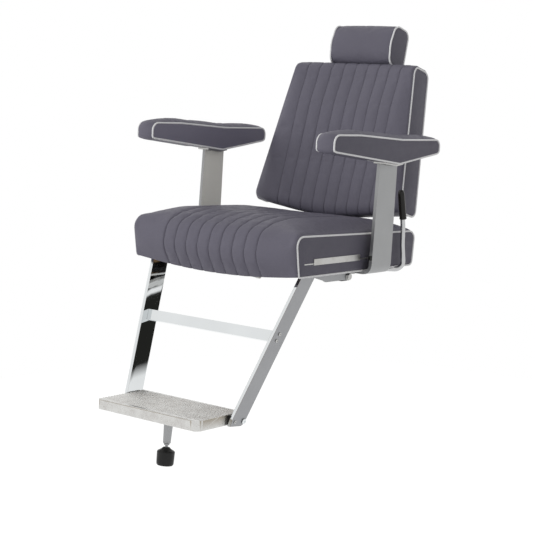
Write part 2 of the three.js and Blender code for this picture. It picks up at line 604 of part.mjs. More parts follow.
function backCushion() {
  const outline = divided(rounded([
    [back.front, back.low, back.frontLowRadius, 4], [back.rear, back.low, back.rearLowRadius, 3],
    [back.rear, back.top, back.rearTopRadius, 3], [back.front, back.top, back.frontTopRadius, 5]]), 66);
  const rings = channelStations(back.seams, back.seamShare, back.seamDepth).map(([s, groove]) =>
    outline.map(([y, z]) => {
      const ahead = 1 - THREE.MathUtils.smoothstep(y, back.front, back.front + 36);
      const height = (z - back.low) / (back.top - back.low);
      const lumbar = Math.sin(Math.PI * THREE.MathUtils.clamp(height * 1.15 + 0.25, 0, 1));
      const foot = 1 - THREE.MathUtils.smoothstep(height, 0, 0.12);
      const rise = swell(s) * (back.crown + back.lumbar * lumbar) * ahead;
      return [s * backWidth(z), y - rise + groove * ahead,
        z - foot * 14 * (1 - s * s) * (1 - 0.3 * THREE.MathUtils.smoothstep(y, back.front + 20, back.rear))];
    }));
  const inner = (inset, low, top) => {
    const tool = block(-1, 1, backPocket.front, back.rear + 20, low, top);
    return reshape(tool, (x, y, z) => [Math.sign(x) * (backWidth(z) - inset), y, z]);
  };
  const stemSlot = block(-stem.halfWidth - 1.5, stem.halfWidth + 1.5, -43, -30, back.top - 40, back.top + 20);
  const armSlots = sides.map(([, side]) => {
    const [x0, x1] = [hingeArm.inner - 0.8, hingeArm.inner + hingeArm.thick + 0.8];
    const across = side > 0 ? [x0, x1] : [-x1, -x0];
    return block(...across, hingeArm.front - 1, back.rear + 20, back.low - 20, back.low + 30);
  });
  return cut(loft(rings), inner(backPocket.inset, backPocket.low, backPocket.top),
    inner(shell.inset - gap, shell.low - gap, shell.top + gap)
      .translate(0, back.rear - shell.thick - gap - backPocket.front, 0),
    stemSlot, ...armSlots);
}
add(leaned, 'back_cushion', backCushion(), upholstery);

function backPanel(y0, y1, inset, low, top) {
  return reshape(block(-1, 1, y0, y1, low, top), (x, y, z) => [Math.sign(x) * (backWidth(z) - inset), y, z]);
}
const boardRear = backPocket.front + gap + backBoard.thick;
add(leaned, 'back_board', backPanel(
  backPocket.front + gap, boardRear, backPocket.inset + gap,
  backPocket.low + gap, backPocket.top - gap), plywood);
add(leaned, 'back_shell', backPanel(
  back.rear - shell.thick, back.rear, shell.inset, shell.low, shell.top), frameBlack);

const leanedPin = new THREE.Vector3(0, backPin.y - backHinge.y, backPin.z - backHinge.z)
  .applyAxisAngle(new THREE.Vector3(1, 0, 0), rad(backLean));

function backArm() {
  const x1 = hingeArm.inner + hingeArm.thick;
  const boss = hingeArm.bossRadius;
  const face = boardRear + gap;
  const blade = plateX([
    ...arc(0, 0, boss, -30, 60, 4), [hingeArm.rear, back.low + 6], [hingeArm.rear, hingeArm.top - 10],
    [hingeArm.rear - 8, hingeArm.top], [face, hingeArm.top], [face, back.low + 2],
    ...arc(0, 0, boss, 165, 220, 3)], hingeArm.inner, x1);
  const crankArm = plateX([
    ...arc(leanedPin.y, leanedPin.z, 8.5, -110, 50, 6), [9, 4], [-9, 4],
    ...arc(leanedPin.y, leanedPin.z, 8.5, 180, 230, 3)], hingeArm.inner, x1);
  const flange = block(hingeArm.inner, hingeArm.inner + 34, face, face + 4, back.low + 40, hingeArm.top);
  const stub = barX(leanedPin.y, leanedPin.z, linkEye.pin, x1 - 4, linkEye.inner + linkEye.thick + 2, 16);
  return cut(join(blade, crankArm, flange, stub), barX(0, 0, 7 + gap, hingeArm.inner - 5, x1 + 5, 20));
}
addPair(leaned, 'back_hinge_arm', backArm(), frameBlack);

// The shaft turns with the back. Its middle carries the crank that the cylinder holds.
function backShaft() {
  const { y, z } = leanedPin;
  const cheek = (x) => plateX([
    ...arc(y, z, 8.5, -120, 60, 6), ...arc(0, 0, 11, 10, 190, 8), ...arc(y, z, 8.5, 150, 210, 3)], x, x + 7);
  return join(barX(0, 0, 7, -82, -8, 20), barX(0, 0, 7, 8, 82, 20), cheek(-15), cheek(8),
    barX(y, z, linkEye.pin, -10, 10, 16));
}
add(leaned, 'back_shaft', backShaft(), steel);

const socketFront = boardRear + gap;
const stemMiddle = socketFront + 4 + gap + stem.thick / 2;
function stemSocket() {
  const outer = block(-stem.halfWidth - 5, stem.halfWidth + 5,
    socketFront, stemMiddle + stem.thick / 2 + gap + 3,
    stem.low - 8, backPocket.top - 13);
  const hole = block(-stem.halfWidth - gap, stem.halfWidth + gap, stemMiddle - stem.thick / 2 - gap,
    stemMiddle + stem.thick / 2 + gap, stem.low - 30, backPocket.top + 30);
  return cut(outer, hole);
}
add(leaned, 'stem_socket', stemSocket(), steel);

function headrestStem() {
  const strip = block(-stem.halfWidth, stem.halfWidth,
    stemMiddle - stem.thick / 2, stemMiddle + stem.thick / 2,
    stem.low, stem.axis);
  return cut(join(strip, barX(stemMiddle, stem.axis, stem.eye, -stem.halfWidth, stem.halfWidth, 20)),
    barX(stemMiddle, stem.axis, 4 + gap, -30, 30, 16));
}
add(leaned, 'headrest_stem', headrestStem(), chrome);

function headCushion() {
  const outline = divided(rounded([
    [head.front, head.low, head.radius, 4], [head.rear, head.low, head.radius - 8, 3],
    [head.topRear, head.top, head.radius, 4], [head.topFront, head.top, head.radius, 4],
    [head.brow, head.browHeight, 3 * head.radius, 2]]), 36);
  const centreY = (head.front + head.rear) / 2;
  const centreZ = (head.low + head.top) / 2;
  const rings = [-1, -0.96, -0.82, -0.5, 0, 0.5, 0.82, 0.96, 1].map((s) => outline.map(([y, z]) => {
    const full = swell(s) / (head.top - centreZ);
    return [s * head.halfWidth, centreY + (y - centreY) * (1 + head.crown * full),
      centreZ + (z - centreZ) * (1 + head.lift * full)];
  }));
  const well = block(-head.wellHalf, head.wellHalf, head.wellFront, head.wellRear,
    head.low - 20, head.wellTop);
  return cut(loft(rings), well);
}
add(leaned, 'headrest_cushion', headCushion(), upholstery);

function tiltBracket() {
  const inner = stem.halfWidth + gap;
  const top = head.wellTop - gap;
  const bridge = block(-inner - 4, inner + 4, stemMiddle - 12, stemMiddle + 12, top - 4, top);
  const cheeks = [inner, -inner - 4].map((x) => join(
    block(x, x + 4, stemMiddle - 10, stemMiddle + 10, stem.axis, top - 2),
    barX(stemMiddle, stem.axis, 10, x, x + 4, 16)));
  return cut(join(bridge, ...cheeks), barX(stemMiddle, stem.axis, 4 + gap, -40, 40, 16));
}
add(leaned, 'tilt_bracket', tiltBracket(), steel);
add(leaned, 'tilt_pin', barX(stemMiddle, stem.axis, 4, -27, 27, 16), steel);

// ---- leg rest ----

const barMiddle = (z) => legHinge.y + (z - legHinge.z) * legBar.slope;
const barOuter = (z) => legBar.outerAtZero + legBar.splay * z;
const barInner = (z) => barOuter(z) - legBar.thick;
const barAngle = Math.atan(legBar.slope) / rad(1);
const barHalf = legBar.half / Math.cos(rad(barAngle));
const splayed = (geometry) => reshape(geometry, (x, y, z) => [x + legBar.splay * z, y, z]);

function legBarShape() {
  const low = legBar.lowZ;
  const outline = [
    ...arc(legHinge.y, legHinge.z, legBar.half, -barAngle, 180 - barAngle, 12),
    [barMiddle(low + 24) - barHalf, low + 24], [barMiddle(low + 5) - barHalf + 4, low + 5],
    [barMiddle(low) + barHalf - 9, low], [barMiddle(low + 4) + barHalf - 2.6, low + 3.4],
    [barMiddle(low + 12) + barHalf, low + 12]];
  const x = legBar.outerAtZero;
  const bar = splayed(plateX(outline, x - legBar.thick, x));
  const foot = [tread.halfWidth - 16, tread.halfWidth + 54];
  const holes = [barX(tread.hingeY, tread.hingeZ, 4 + gap, ...foot, 16),
    barX(stopPin.y, stopPin.z, 2.5 + gap, ...foot, 12),
    ...crossScrews.map(([y, z]) => barX(y, z, 2.5 + gap, x - 72, x + 8, 12))];
  return cut(bar, ...holes);
}
const barTurn = rad(barAngle);
const crossY = barMiddle(crossBar.z) - crossBar.forward;
const crossScrews = [1, -1].map((end) => [
  crossY + end * crossBar.screwStep * Math.sin(barTurn),
  crossBar.z + end * crossBar.screwStep * Math.cos(barTurn)]);
addPair(raked, 'leg_bar', legBarShape(), chrome);

function crossBarShape() {
  const bar = new THREE.BoxGeometry(2, crossBar.thick, crossBar.tall)
    .rotateX(-barTurn).translate(0, crossY, crossBar.z);
  reshape(bar, (x, y, z) => [Math.sign(x) * (barInner(z) - gap), y, z]);
  const holes = sides.flatMap(([, side]) => crossScrews.map(([y, z]) =>
    barX(y, z, 2.5 + gap, ...[-62.6, 7.4].map((x) => side * (legBar.outerAtZero + x)).sort(ascending), 12)));
  return cut(bar, ...holes);
}
add(raked, 'cross_bar', crossBarShape(), chrome);

// Pan-head screw along X: its head lies on the outer face of a leg bar.
function barScrew(y, z, headRadius, headHigh, shank, length) {
  const face = barOuter(z + headRadius) + gap;
  return turned([[0, -length], [shank, -length], [shank, 0], [headRadius, 0], [headRadius, headHigh * 0.5],
    [headRadius * 0.7, headHigh], [0, headHigh]], 12)
    .rotateY(Math.PI / 2).translate(face, y, z);
}
crossScrews.forEach(([y, z], i) => {
  const name = i === 0 ? 'cross_screw_upper' : 'cross_screw_lower';
  addPair(raked, name, barScrew(y, z, 4.6, 2.6, 2.5, 26), steel);
});
addPair(raked, 'tread_bolt', barScrew(tread.hingeY, tread.hingeZ, 7.4, 3.4, 4, 34), chrome);
addPair(raked, 'stop_pin', barScrew(stopPin.y, stopPin.z, 4.2, 2.4, 2.5, 15), steel);

function legShaftShape() {
  const end = barInner(legHinge.z - legShaft.radius) - gap;
  const pieces = [barX(legHinge.y, legHinge.z, legShaft.radius, -end, end, 20)];
  for (const [, side] of sides) {
    const lug = hingeArm.inner;
    const [x0, x1] = side > 0 ? [lug, lug + hingeArm.thick] : [-lug - hingeArm.thick, -lug];
    const far = linkEye.inner + linkEye.thick + 2;
    pieces.push(
      plateX([...arc(legPin.y, legPin.z, 7.5, 200, 380, 8),
        [legHinge.y + 10, legHinge.z], [legHinge.y - 10, legHinge.z]], x0, x1),
      side > 0 ? barX(legPin.y, legPin.z, linkEye.pin - linkEye.slack, x1 - 2, far, 16)
        : barX(legPin.y, legPin.z, linkEye.pin - linkEye.slack, -far, x0 + 2, 16));
  }
  return join(...pieces);
}
add(raked, 'leg_shaft', legShaftShape(), steel);

function legBracket() {
  const endY = bracket.boltY + bracket.endRadius - gap;
  const outline = [
    ...arc(legHinge.y, legHinge.z, 13, 60, 240, 8),
    [legHinge.y + 28, -9], [-136, bracket.low + 4], [-128, bracket.low],
    ...arc(bracket.boltY, bracket.boltZ, bracket.endRadius - gap, -50, 20, 3),
    [endY, outrigger.low - 5], [endY, -1], [legHinge.y + 31, -1], [legHinge.y + 16, 8]];
  return cut(plateX(outline, bracket.inner, bracket.inner + bracket.thick),
    barX(legHinge.y, legHinge.z, legShaft.radius + gap,
      bracket.inner - 5, bracket.inner + bracket.thick + 5, 20),
    barX(bracket.boltY, bracket.boltZ, 5 + gap, bracket.inner - 5, bracket.inner + bracket.thick + 5, 16));
}
addPair(raked, 'leg_bracket', legBracket(), chrome);
addPair(raked, 'bracket_bolt',
  hexBolt(bracket.boltY, bracket.boltZ, bracket.inner + bracket.thick + gap, 9.2, 6.5, 5, 15), steel);

// Link rods run beside the rails. The eye on the leg shaft is the one with slack.
function linkRod() {
  const { inner, thick, radius, pin, slack } = linkEye;
  const x = inner + thick / 2;
  const knee = new THREE.Vector3(x, lever.axisY + 28, lever.axisZ - lever.spindle - 6.5);
  const rod = join(
    barBetween(new THREE.Vector3(x, legPin.y + 6, legPin.z), knee, 4.5, 14),
    barBetween(knee, new THREE.Vector3(x, backPin.y - 6, backPin.z), 4.5, 14),
    new THREE.IcosahedronGeometry(4.6, 1).translate(...knee.toArray()));
  const eyes = [legPin, backPin].map(({ y, z }) => barX(y, z, radius, inner, inner + thick, 16));
  return cut(join(rod, ...eyes),
    barX(legPin.y, legPin.z, pin + slack - gap, inner - 5, inner + thick + 5, 16),
    barX(backPin.y, backPin.z, pin + gap, inner - 5, inner + thick + 5, 16));
}
addPair(raked, 'link_rod', linkRod(), steel);

// ---- tread and foot ----

const footBase = new THREE.Vector3(
  0, foot.y, tread.top - tread.thick - gap - foot.topRadius * Math.sin(rad(foot.lean)));

function treadPlate() {
  const { halfWidth, front, rear, top, thick, corner, farCorner } = tread;
  const outline = rounded([
    [halfWidth, rear, 4, 1], [-halfWidth, rear, 4, 1],
    [-halfWidth, front, farCorner, 4], [halfWidth, front, corner, 6]]);
  const shape = new THREE.Shape(outline.map(([x, y]) => new THREE.Vector2(x, y)));
  const slab = new THREE.ExtrudeGeometry(shape, { depth: thick, bevelEnabled: false })
    .translate(0, 0, top - thick);
  const hollow = block(-halfWidth + 26, halfWidth - 26, front + 9, rear - 26, top - thick - 5, top - 7);
  const spine = block(-22, 22, front + 1, rear - 20, top - thick, top - 3);
  const webs = [tread.webs, tread.webs.map((x) => -x).reverse()]
    .map(([x0, x1]) => solidOf(block(x0, x1, front + 1, rear - 20, top - thick + 3, top - 3)));
  const pitch = (rear - front - 2 * tread.margin) / tread.ribs;
  const grooves = Array.from({ length: tread.ribs }, (_, i) => {
    const y = front + tread.margin + pitch * (i + 0.5);
    return block(-halfWidth - 1, halfWidth + 1, y - pitch * 0.22, y + pitch * 0.22,
      top - tread.ribDepth, top + 1);
  });
  const bolts = sides.map(([, side]) => barX(tread.hingeY, tread.hingeZ, 4 + gap,
    side > 0 ? halfWidth - 24 : -halfWidth - 1, side > 0 ? halfWidth + 1 : 24 - halfWidth, 16));
  const stemHole = turned([[0, -40], [6 + gap, -40], [6 + gap, 13], [0, 13]], 16)
    .rotateX(-rad(foot.lean)).translate(...footBase.toArray());
  const hollowed = webs.reduce((sum, web) => sum.add(web), solidOf(cut(slab, hollow)).add(solidOf(spine)));
  return cut(geometryOf(hollowed), ...grooves, ...bolts, stemHole);
}
add(raked, 'tread_plate', treadPlate(), aluminium);

// Dark block between the tread and a leg bar. It rests on the stop pin, over its notch. Its
// outer face clears the bar at rest and, as the second limit, while the tread folds up.
function stopBlock() {
  const x0 = tread.halfWidth + gap;
  const low = tread.top - tread.thick + 2;
  const high = tread.top - 2;
  const front = stopPin.y - 12;
  const rear = tread.rear - 2;
  const body = plateX([[front, low], [rear, low], [rear, high], [front, high]], x0, x0 + 12);
  const outside = (faceAt) => reshape(block(0, 1, -600, -200, -420, -300), (x, y, z) =>
    [faceAt(y, z) - gap + 60 * x, y, z]);
  const limit = outside((y, z) => barInner(z));
  const foldLimit = outside((y) => barInner(tread.hingeZ + tread.hingeY - y) - gap);
  const notch = block(x0 - 1, x0 + 14, stopPin.y - 4.6, stopPin.y + 8, low - 5, stopPin.z + 2.5 + gap);
  return cut(body, limit, foldLimit, notch, barX(tread.hingeY, tread.hingeZ, 4 + gap, x0 - 1, x0 + 14, 16));
}
addPair(raked, 'stop_block', stopBlock(), rubber);

const footGroup = new THREE.Group();
footGroup.position.copy(footBase);
footGroup.rotation.x = -rad(foot.lean);
raked.add(footGroup);
const ballZ = -foot.length - bumper.drop - foot.ball;

const footStem = turned([
  [0, ballZ - foot.ball], [foot.ball * 0.6, ballZ - foot.ball * 0.8], [foot.ball, ballZ],
  [foot.ball * 0.8, ballZ + foot.ball * 0.6], [foot.neck, ballZ + foot.ball * 0.87],
  [foot.neck, -foot.length],
  [7.4, -foot.length + 0.01], [7.4, -foot.length + 4], [foot.lowRadius, -foot.length + 5],
  [foot.lowRadius + 0.3, -foot.length + 9], [foot.topRadius, -2], [foot.topRadius, 0],
  [6, 0.4], [6, 11], [0, 11]], 20);
add(footGroup, 'foot_stem', footStem, aluminium);

function rubberBumper() {
  const top = ballZ + 9;
  const low = top - bumper.height;
  const r = bumper.radius;
  const body = turned([
    [0, low], [r - 4, low], [r - 0.8, low + 3], [r, low + 8], [r + 0.2, top - 12],
    [r - 2.5, top - 8], [13, top - 4.5],
    [9.5, top - 1], [8.6, top], [0, top]], 28);
  const socket = turned([
    [0, ballZ - foot.ball - 2], [foot.ball + 0.5, ballZ - foot.ball - 2],
    [foot.ball + 0.5, ballZ + foot.ball * 0.6],
    [6.2, ballZ + foot.ball], [7.4, top + 1], [0, top + 1]], 16);
  return cut(body, socket);
}
add(footGroup, 'rubber_bumper', rubberBumper(), rubber);

export default chair;
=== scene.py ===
# Upper part of a barber chair: upholstery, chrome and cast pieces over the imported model.
# Everything is in metres in the model's frame. Sizes in the dictionaries are in millimetres.
import json
import math

import bpy
from mathutils import Matrix, Vector


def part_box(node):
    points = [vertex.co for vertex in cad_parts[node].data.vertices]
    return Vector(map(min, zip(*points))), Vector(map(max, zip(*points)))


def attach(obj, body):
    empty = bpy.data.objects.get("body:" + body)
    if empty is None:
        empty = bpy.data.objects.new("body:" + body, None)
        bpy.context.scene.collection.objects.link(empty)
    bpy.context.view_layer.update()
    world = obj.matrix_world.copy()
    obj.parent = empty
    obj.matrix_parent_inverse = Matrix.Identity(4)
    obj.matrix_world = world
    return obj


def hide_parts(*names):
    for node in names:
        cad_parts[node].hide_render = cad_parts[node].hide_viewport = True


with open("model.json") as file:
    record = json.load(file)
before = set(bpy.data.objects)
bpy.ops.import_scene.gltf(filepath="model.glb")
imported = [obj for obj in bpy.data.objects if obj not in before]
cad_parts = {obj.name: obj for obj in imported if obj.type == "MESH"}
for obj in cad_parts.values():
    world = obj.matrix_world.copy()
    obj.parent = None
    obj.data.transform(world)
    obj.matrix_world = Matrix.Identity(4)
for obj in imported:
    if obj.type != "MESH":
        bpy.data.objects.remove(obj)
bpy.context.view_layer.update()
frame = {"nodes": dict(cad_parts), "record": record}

scene = bpy.context.scene
rake = math.radians(4.25)  # the seat's front edge is up by this
lean = math.radians(15.7)  # of the back, from square to the seat
seatLift = 30
hinge = (238, 12)  # the back's pivot, along and square to the seat
bodyOf = {
    name: body
    for body, names in frame["record"]["behaviour"]["bodies"].items()
    for name in names
}
slotOf = {part["node"]: part["material_slot"] for part in frame["record"]["subparts"]}
sides = (("left", 1), ("right", -1))


def raked(x, u, w):
    # across, along the seat, square to the seat
    return Vector((
        x,
        u * math.cos(rake) + w * math.sin(rake),
        seatLift - u * math.sin(rake) + w * math.cos(rake),
    )) / 1000


def leaned(x, p, q):
    # across, through the back, up the back
    u = hinge[0] + p * math.cos(lean) + q * math.sin(lean)
    w = hinge[1] - p * math.sin(lean) + q * math.cos(lean)
    return raked(x, u, w)


def smooth(value, low, high):
    t = min(1, max(0, (value - low) / (high - low)))
    return t * t * (3 - 2 * t)


def curveThrough(value, knots):
    # a smooth curve through (place, height) knots
    value = min(knots[-1][0], max(knots[0][0], value))
    last = len(knots) - 1
    for i in range(last):
        (a, low), (b, high) = knots[i], knots[i + 1]
        if value <= b:
            before, after = knots[max(0, i - 1)], knots[min(last, i + 2)]
            slopeIn = (high - before[1]) / (b - before[0]) * (b - a)
            slopeOut = (after[1] - low) / (after[0] - a) * (b - a)
            t = (value - a) / (b - a)
            return (low * (1 + 2 * t) * (1 - t) ** 2 + slopeIn * t * (1 - t) ** 2
                    + high * t * t * (3 - 2 * t) + slopeOut * t * t * (t - 1))
    return knots[-1][1]


# materials

def newMaterial(name, plain):
    material = bpy.data.materials.new(name)
    material.use_nodes = True
    shader = material.node_tree.nodes["Principled BSDF"]
    for socket, value in plain.items():
        shader.inputs[socket].default_value = value
    return material, material.node_tree


def addNode(tree, kind, sockets=None, **settings):
    made = tree.nodes.new("ShaderNode" + kind)
    for key, value in settings.items():
        setattr(made, key, value)
    for socket, value in (sockets or {}).items():
        if isinstance(value, bpy.types.NodeSocket):
            tree.links.new(value, made.inputs[socket])
        else:
            made.inputs[socket].default_value = value
    return made


def tint(colour, factor):
    return tuple(min(1, channel * factor) for channel in colour[:3]) + (1,)


def objectPlace(tree, stretch=(1, 1, 1)):
    place = addNode(tree, "TexCoord").outputs["Object"]
    if stretch == (1, 1, 1):
        return place
    return addNode(tree, "Mapping", {"Vector": place, "Scale": stretch}).outputs["Vector"]


def noise(tree, place, scale, detail=3, roughness=0.55):
    return addNode(tree, "TexNoise", {
        "Vector": place, "Scale": scale, "Detail": detail, "Roughness": roughness}).outputs["Fac"]


def spread(tree, value, low, high, fromLow=0.3, fromHigh=0.7):
    return addNode(tree, "MapRange", {
        "Value": value, "From Min": fromLow, "From Max": fromHigh, "To Min": low, "To Max": high,
    }).outputs["Result"]


def mathNode(tree, operation, *values):
    return addNode(tree, "Math", dict(enumerate(values)), operation=operation).outputs[0]


def blendColours(tree, share, first, second):
    mix = addNode(tree, "Mix", {"Factor": share}, data_type="RGBA")
    for socket, value in ((6, first), (7, second)):
        if isinstance(value, bpy.types.NodeSocket):
            tree.links.new(value, mix.inputs[socket])
        else:
            mix.inputs[socket].default_value = value
    return mix.outputs[2]


def bumps(tree, *layers):
    # each layer is (height, strength, distance); the last one's normal is returned
    normal = None
    for height, strength, distance in layers:
        sockets = {"Height": height, "Strength": strength, "Distance": distance}
        if normal:
            sockets["Normal"] = normal
        normal = addNode(tree, "Bump", sockets).outputs["Normal"]
    return normal


def surfaced(material, colours, roughness, *layers):
    # wires colour, roughness and bump layers to the material's shader
    links, sockets = material.node_tree.links, material.node_tree.nodes["Principled BSDF"].inputs
    links.new(colours, sockets["Base Color"])
    if roughness:
        links.new(roughness, sockets["Roughness"])
    links.new(bumps(material.node_tree, *layers), sockets["Normal"])
    return material


def vinylMaterial(name, colour, seams=False, grain=900, roughness=(0.44, 0.56)):
    # grained vinyl: cloudy colour, pebble grain, stitched along its seams, darker there from the seam line
    # and painted shade in its groove
    material, tree = newMaterial(name, {"Specular IOR Level": 0.24})
    place = objectPlace(tree)
    cloud = noise(tree, place, 7, 4)
    fine = noise(tree, place, 240, 2)
    colours = blendColours(tree, spread(tree, cloud, 0, 1), tint(colour, 0.95), tint(colour, 1.05))
    colours = blendColours(tree, spread(tree, fine, 0, 0.35), colours, tint(colour, 0.86))
    cells = addNode(tree, "TexVoronoi", {"Vector": place, "Scale": grain}, feature="DISTANCE_TO_EDGE")
    pebbles = spread(tree, cells.outputs["Distance"], 0, 1, 0, 0.16)
    layers = [(noise(tree, place, 38, 2), 0.06, 0.002), (pebbles, 0.2, 0.0002)]
    if seams:
        shade = addNode(tree, "Attribute", attribute_name="seamShade").outputs["Fac"]
        run = addNode(tree, "Attribute", attribute_name="seamRun").outputs["Fac"]
        # the seam line and painted shade in its groove: the colour darkens toward the seams
        colours = blendColours(tree, spread(tree, shade, 0, 0.42, 0, 1), colours, tint(colour, 0.45))
        beat = mathNode(tree, "MULTIPLY", run, 1300)
        dash = mathNode(tree, "SINE", beat)
        stitch = mathNode(tree, "MULTIPLY", dash, shade)
        layers.append((stitch, 0.3, 0.0006))
    return surfaced(material, colours, spread(tree, noise(tree, place, 60, 3), *roughness), *layers)


def metalMaterial(name, colour, roughness, ripple=0.0, scratch=0.03, stain=0.0, stainColour=None,
                  stretch=(1, 1, 1), metallic=1.0):
    # plated or bare metal: roughness smudges, faint waves, hairline scratches, stains
    material, tree = newMaterial(name, {"Metallic": metallic})
    place = objectPlace(tree)
    cloud = noise(tree, place, 11, 4)
    colours = blendColours(tree, spread(tree, cloud, 0, 1), tint(colour, 0.97), tint(colour, 1.02))
    if stain:
        blot = spread(tree, noise(tree, place, 26, 5, 0.7), 0, stain, 0.5, 0.75)
        colours = blendColours(tree, blot, colours, stainColour)
    smudge = spread(tree, noise(tree, place, 18, 5, 0.65), *roughness)
    lines = noise(tree, objectPlace(tree, stretch), 350, 2)
    layers = [(lines, scratch, 0.0002)]
    if ripple:
        layers.insert(0, (noise(tree, place, 9, 1), ripple, 0.004))
    return surfaced(material, colours, smudge, *layers)


def darkMaterial(name, colour, roughness, bumpScale, bump, dust=0.1):
    # paint, rubber or hard plastic: dusty high spots and a fine skin
    material, tree = newMaterial(name, {"Specular IOR Level": 0.3})
    place = objectPlace(tree)
    dirt = spread(tree, noise(tree, place, 32, 5, 0.7), 0, dust, 0.45, 0.8)
    colours = blendColours(tree, dirt, tint(colour, 1), tint((0.2, 0.19, 0.18), 1))
    skin = (noise(tree, place, bumpScale, 3), bump, 0.0006)
    return surfaced(material, colours, spread(tree, noise(tree, place, 45, 3), *roughness), skin)


def castMaterial():
    material, tree = newMaterial("treadCasting", {"Metallic": 0.8})
    place = objectPlace(tree)
    shade = addNode(tree, "Attribute", attribute_name="grooveShade").outputs["Fac"]
    pale, grey, brown = (0.68, 0.68, 0.665, 1), (0.58, 0.57, 0.555, 1), (0.3, 0.26, 0.2, 1)
    colours = blendColours(tree, spread(tree, noise(tree, place, 28, 5, 0.7), 0, 1, 0.45, 0.65), pale, grey)
    specks = spread(tree, noise(tree, objectPlace(tree, (1, 1.6, 1.6)), 420, 2, 0.6), 0, 0.8, 0.63, 0.71)
    colours = blendColours(tree, specks, colours, brown)
    # painted shade and dirt: brown at the bottom of the grooves
    colours = blendColours(tree, spread(tree, shade, 0, 0.85, 0, 1), colours, brown)
    layers = [(noise(tree, place, 60, 3), 0.12, 0.0008), (specks, 0.15, 0.0004)]
    return surfaced(material, colours, spread(tree, noise(tree, place, 40, 4), 0.2, 0.34), *layers)


def plywoodMaterial():
    material, tree = newMaterial("birchPly", {"Roughness": 0.72})
    place = objectPlace(tree, (1, 14, 14))
    rings = addNode(tree, "TexWave", {
        "Vector": place, "Scale": 1.6, "Distortion": 7, "Detail": 4, "Detail Scale": 1.4}).outputs["Fac"]
    fibre = noise(tree, objectPlace(tree, (6, 160, 160)), 3, 4)
    colours = blendColours(tree, rings, (0.52, 0.34, 0.18, 1), (0.38, 0.23, 0.11, 1))
    colours = blendColours(tree, spread(tree, fibre, 0, 0.4), colours, (0.22, 0.13, 0.06, 1))
    return surfaced(material, colours, None, (fibre, 0.3, 0.0004))


mauve = (0.129, 0.123, 0.158)
materials = {
    "vinyl": vinylMaterial("mauveVinyl", mauve, seams=True),
    # painted shade: a darker copy of the vinyl for the side panels
    "sideVinyl": vinylMaterial("sideVinyl", tint(mauve, 0.82)),
    "piping": vinylMaterial("pipingVinyl", (0.8, 0.8, 0.81), grain=1500, roughness=(0.32, 0.42)),
    "chrome": metalMaterial("chromePlate", (0.73, 0.755, 0.765), (0.008, 0.02), ripple=0.004, scratch=0.001),
    "satin": metalMaterial("satinPlate", (0.335, 0.34, 0.35), (0.4, 0.46), scratch=0.01),
    "postSatin": metalMaterial("postPlate", (0.34, 0.345, 0.35), (0.4, 0.46), scratch=0.01),
    # painted shade: a darker, duller copy of the chrome for the lever rod
    "rod": metalMaterial("rodPlate", (0.5, 0.505, 0.51), (0.12, 0.2), scratch=0.01),
    # painted light: a pale non-metal standing in for the lit inner faces of the arm posts
    "brushed": metalMaterial("brushedPlate", (0.95, 0.94, 0.86), (0.5, 0.6), scratch=0.02, metallic=0),
    # painted light: a brighter copy of the vinyl for the inner side panels of the arm pads
    "innerVinyl": vinylMaterial("innerVinyl", tint(mauve, 1.55)),
    # painted dark reflection: a dark brown metal on the eased edges of plated parts, drawing the dark lines
    # their edges reflect
    "edge": metalMaterial("brownEdge", (0.16, 0.125, 0.09), (0.25, 0.4), scratch=0.02),
    "steel": metalMaterial("zincSteel", (0.52, 0.52, 0.51), (0.28, 0.45), stain=0.35,
                           stainColour=(0.3, 0.27, 0.22, 1), stretch=(1, 6, 1)),
    "cast": castMaterial(),
    "paint": darkMaterial("blackPaint", (0.022, 0.022, 0.024), (0.3, 0.45), 300, 0.15),
    "rubber": darkMaterial("blackRubber", (0.006, 0.006, 0.006), (0.3, 0.5), 420, 0.2, dust=0.03),
    "grip": darkMaterial("gripPlastic", (0.006, 0.005, 0.004), (0.2, 0.3), 260, 0.1, dust=0.02),
    "plywood": plywoodMaterial(),
}
slotMaterials = {
    "upholstery": "vinyl", "chrome": "chrome", "steel": "steel", "frame_black": "paint",
    "plywood": "plywood", "aluminium": "cast", "rubber": "rubber", "grip": "grip",
}


def paint(piece, *names):
    indices = [face.material_index for face in piece.data.polygons]
    piece.data.materials.clear()
    for name in names:
        piece.data.materials.append(materials[name])
    last = len(names) - 1
    piece.data.polygons.foreach_set("material_index", [min(index, last) for index in indices])


for name, cadPiece in frame["nodes"].items():  # every CAD node, shown or not, gets its finish
    finish = materials[slotMaterials[slotOf[name]]]
    for slot in cadPiece.material_slots:
        slot.link = "OBJECT"
        slot.material = finish
print("materials made")


# modelling helpers

def only(piece):
    # selects this object alone
    if bpy.context.object and bpy.context.object.mode != "OBJECT":
        bpy.ops.object.mode_set(mode="OBJECT")
    bpy.ops.object.select_all(action="DESELECT")
    piece.select_set(True)
    bpy.context.view_layer.objects.active = piece


def placed(name, data):
    piece = bpy.data.objects.new(name, data)
    scene.collection.objects.link(piece)
    return piece


def meshPiece(name, points, edges, faces):
    mesh = bpy.data.meshes.new(name)
    mesh.from_pydata([tuple(point) for point in points], edges, faces)
    mesh.update()
    return placed(name, mesh)


def modified(piece, kind, **settings):
    # adds a modifier and applies it
    modifier = piece.modifiers.new(kind.lower(), kind)
    for key, value in settings.items():
        setattr(modifier, key, value)
    only(piece)
    bpy.ops.object.modifier_apply(modifier=modifier.name)


def edited(piece, *steps):
    # runs (operator, settings) steps over the whole mesh
    only(piece)
    bpy.ops.object.mode_set(mode="EDIT")
    for operator, settings in steps:
        bpy.ops.mesh.select_all(action="SELECT")
        operator(**settings)
    bpy.ops.object.mode_set(mode="OBJECT")


turnOut = (bpy.ops.mesh.normals_make_consistent, {"inside": False})


def outward(piece):
    edited(piece, (bpy.ops.mesh.remove_doubles, {"threshold": 0.00001}), turnOut)


def rounded(piece, angle=32):
    only(piece)
    bpy.ops.object.shade_smooth_by_angle(angle=math.radians(angle))


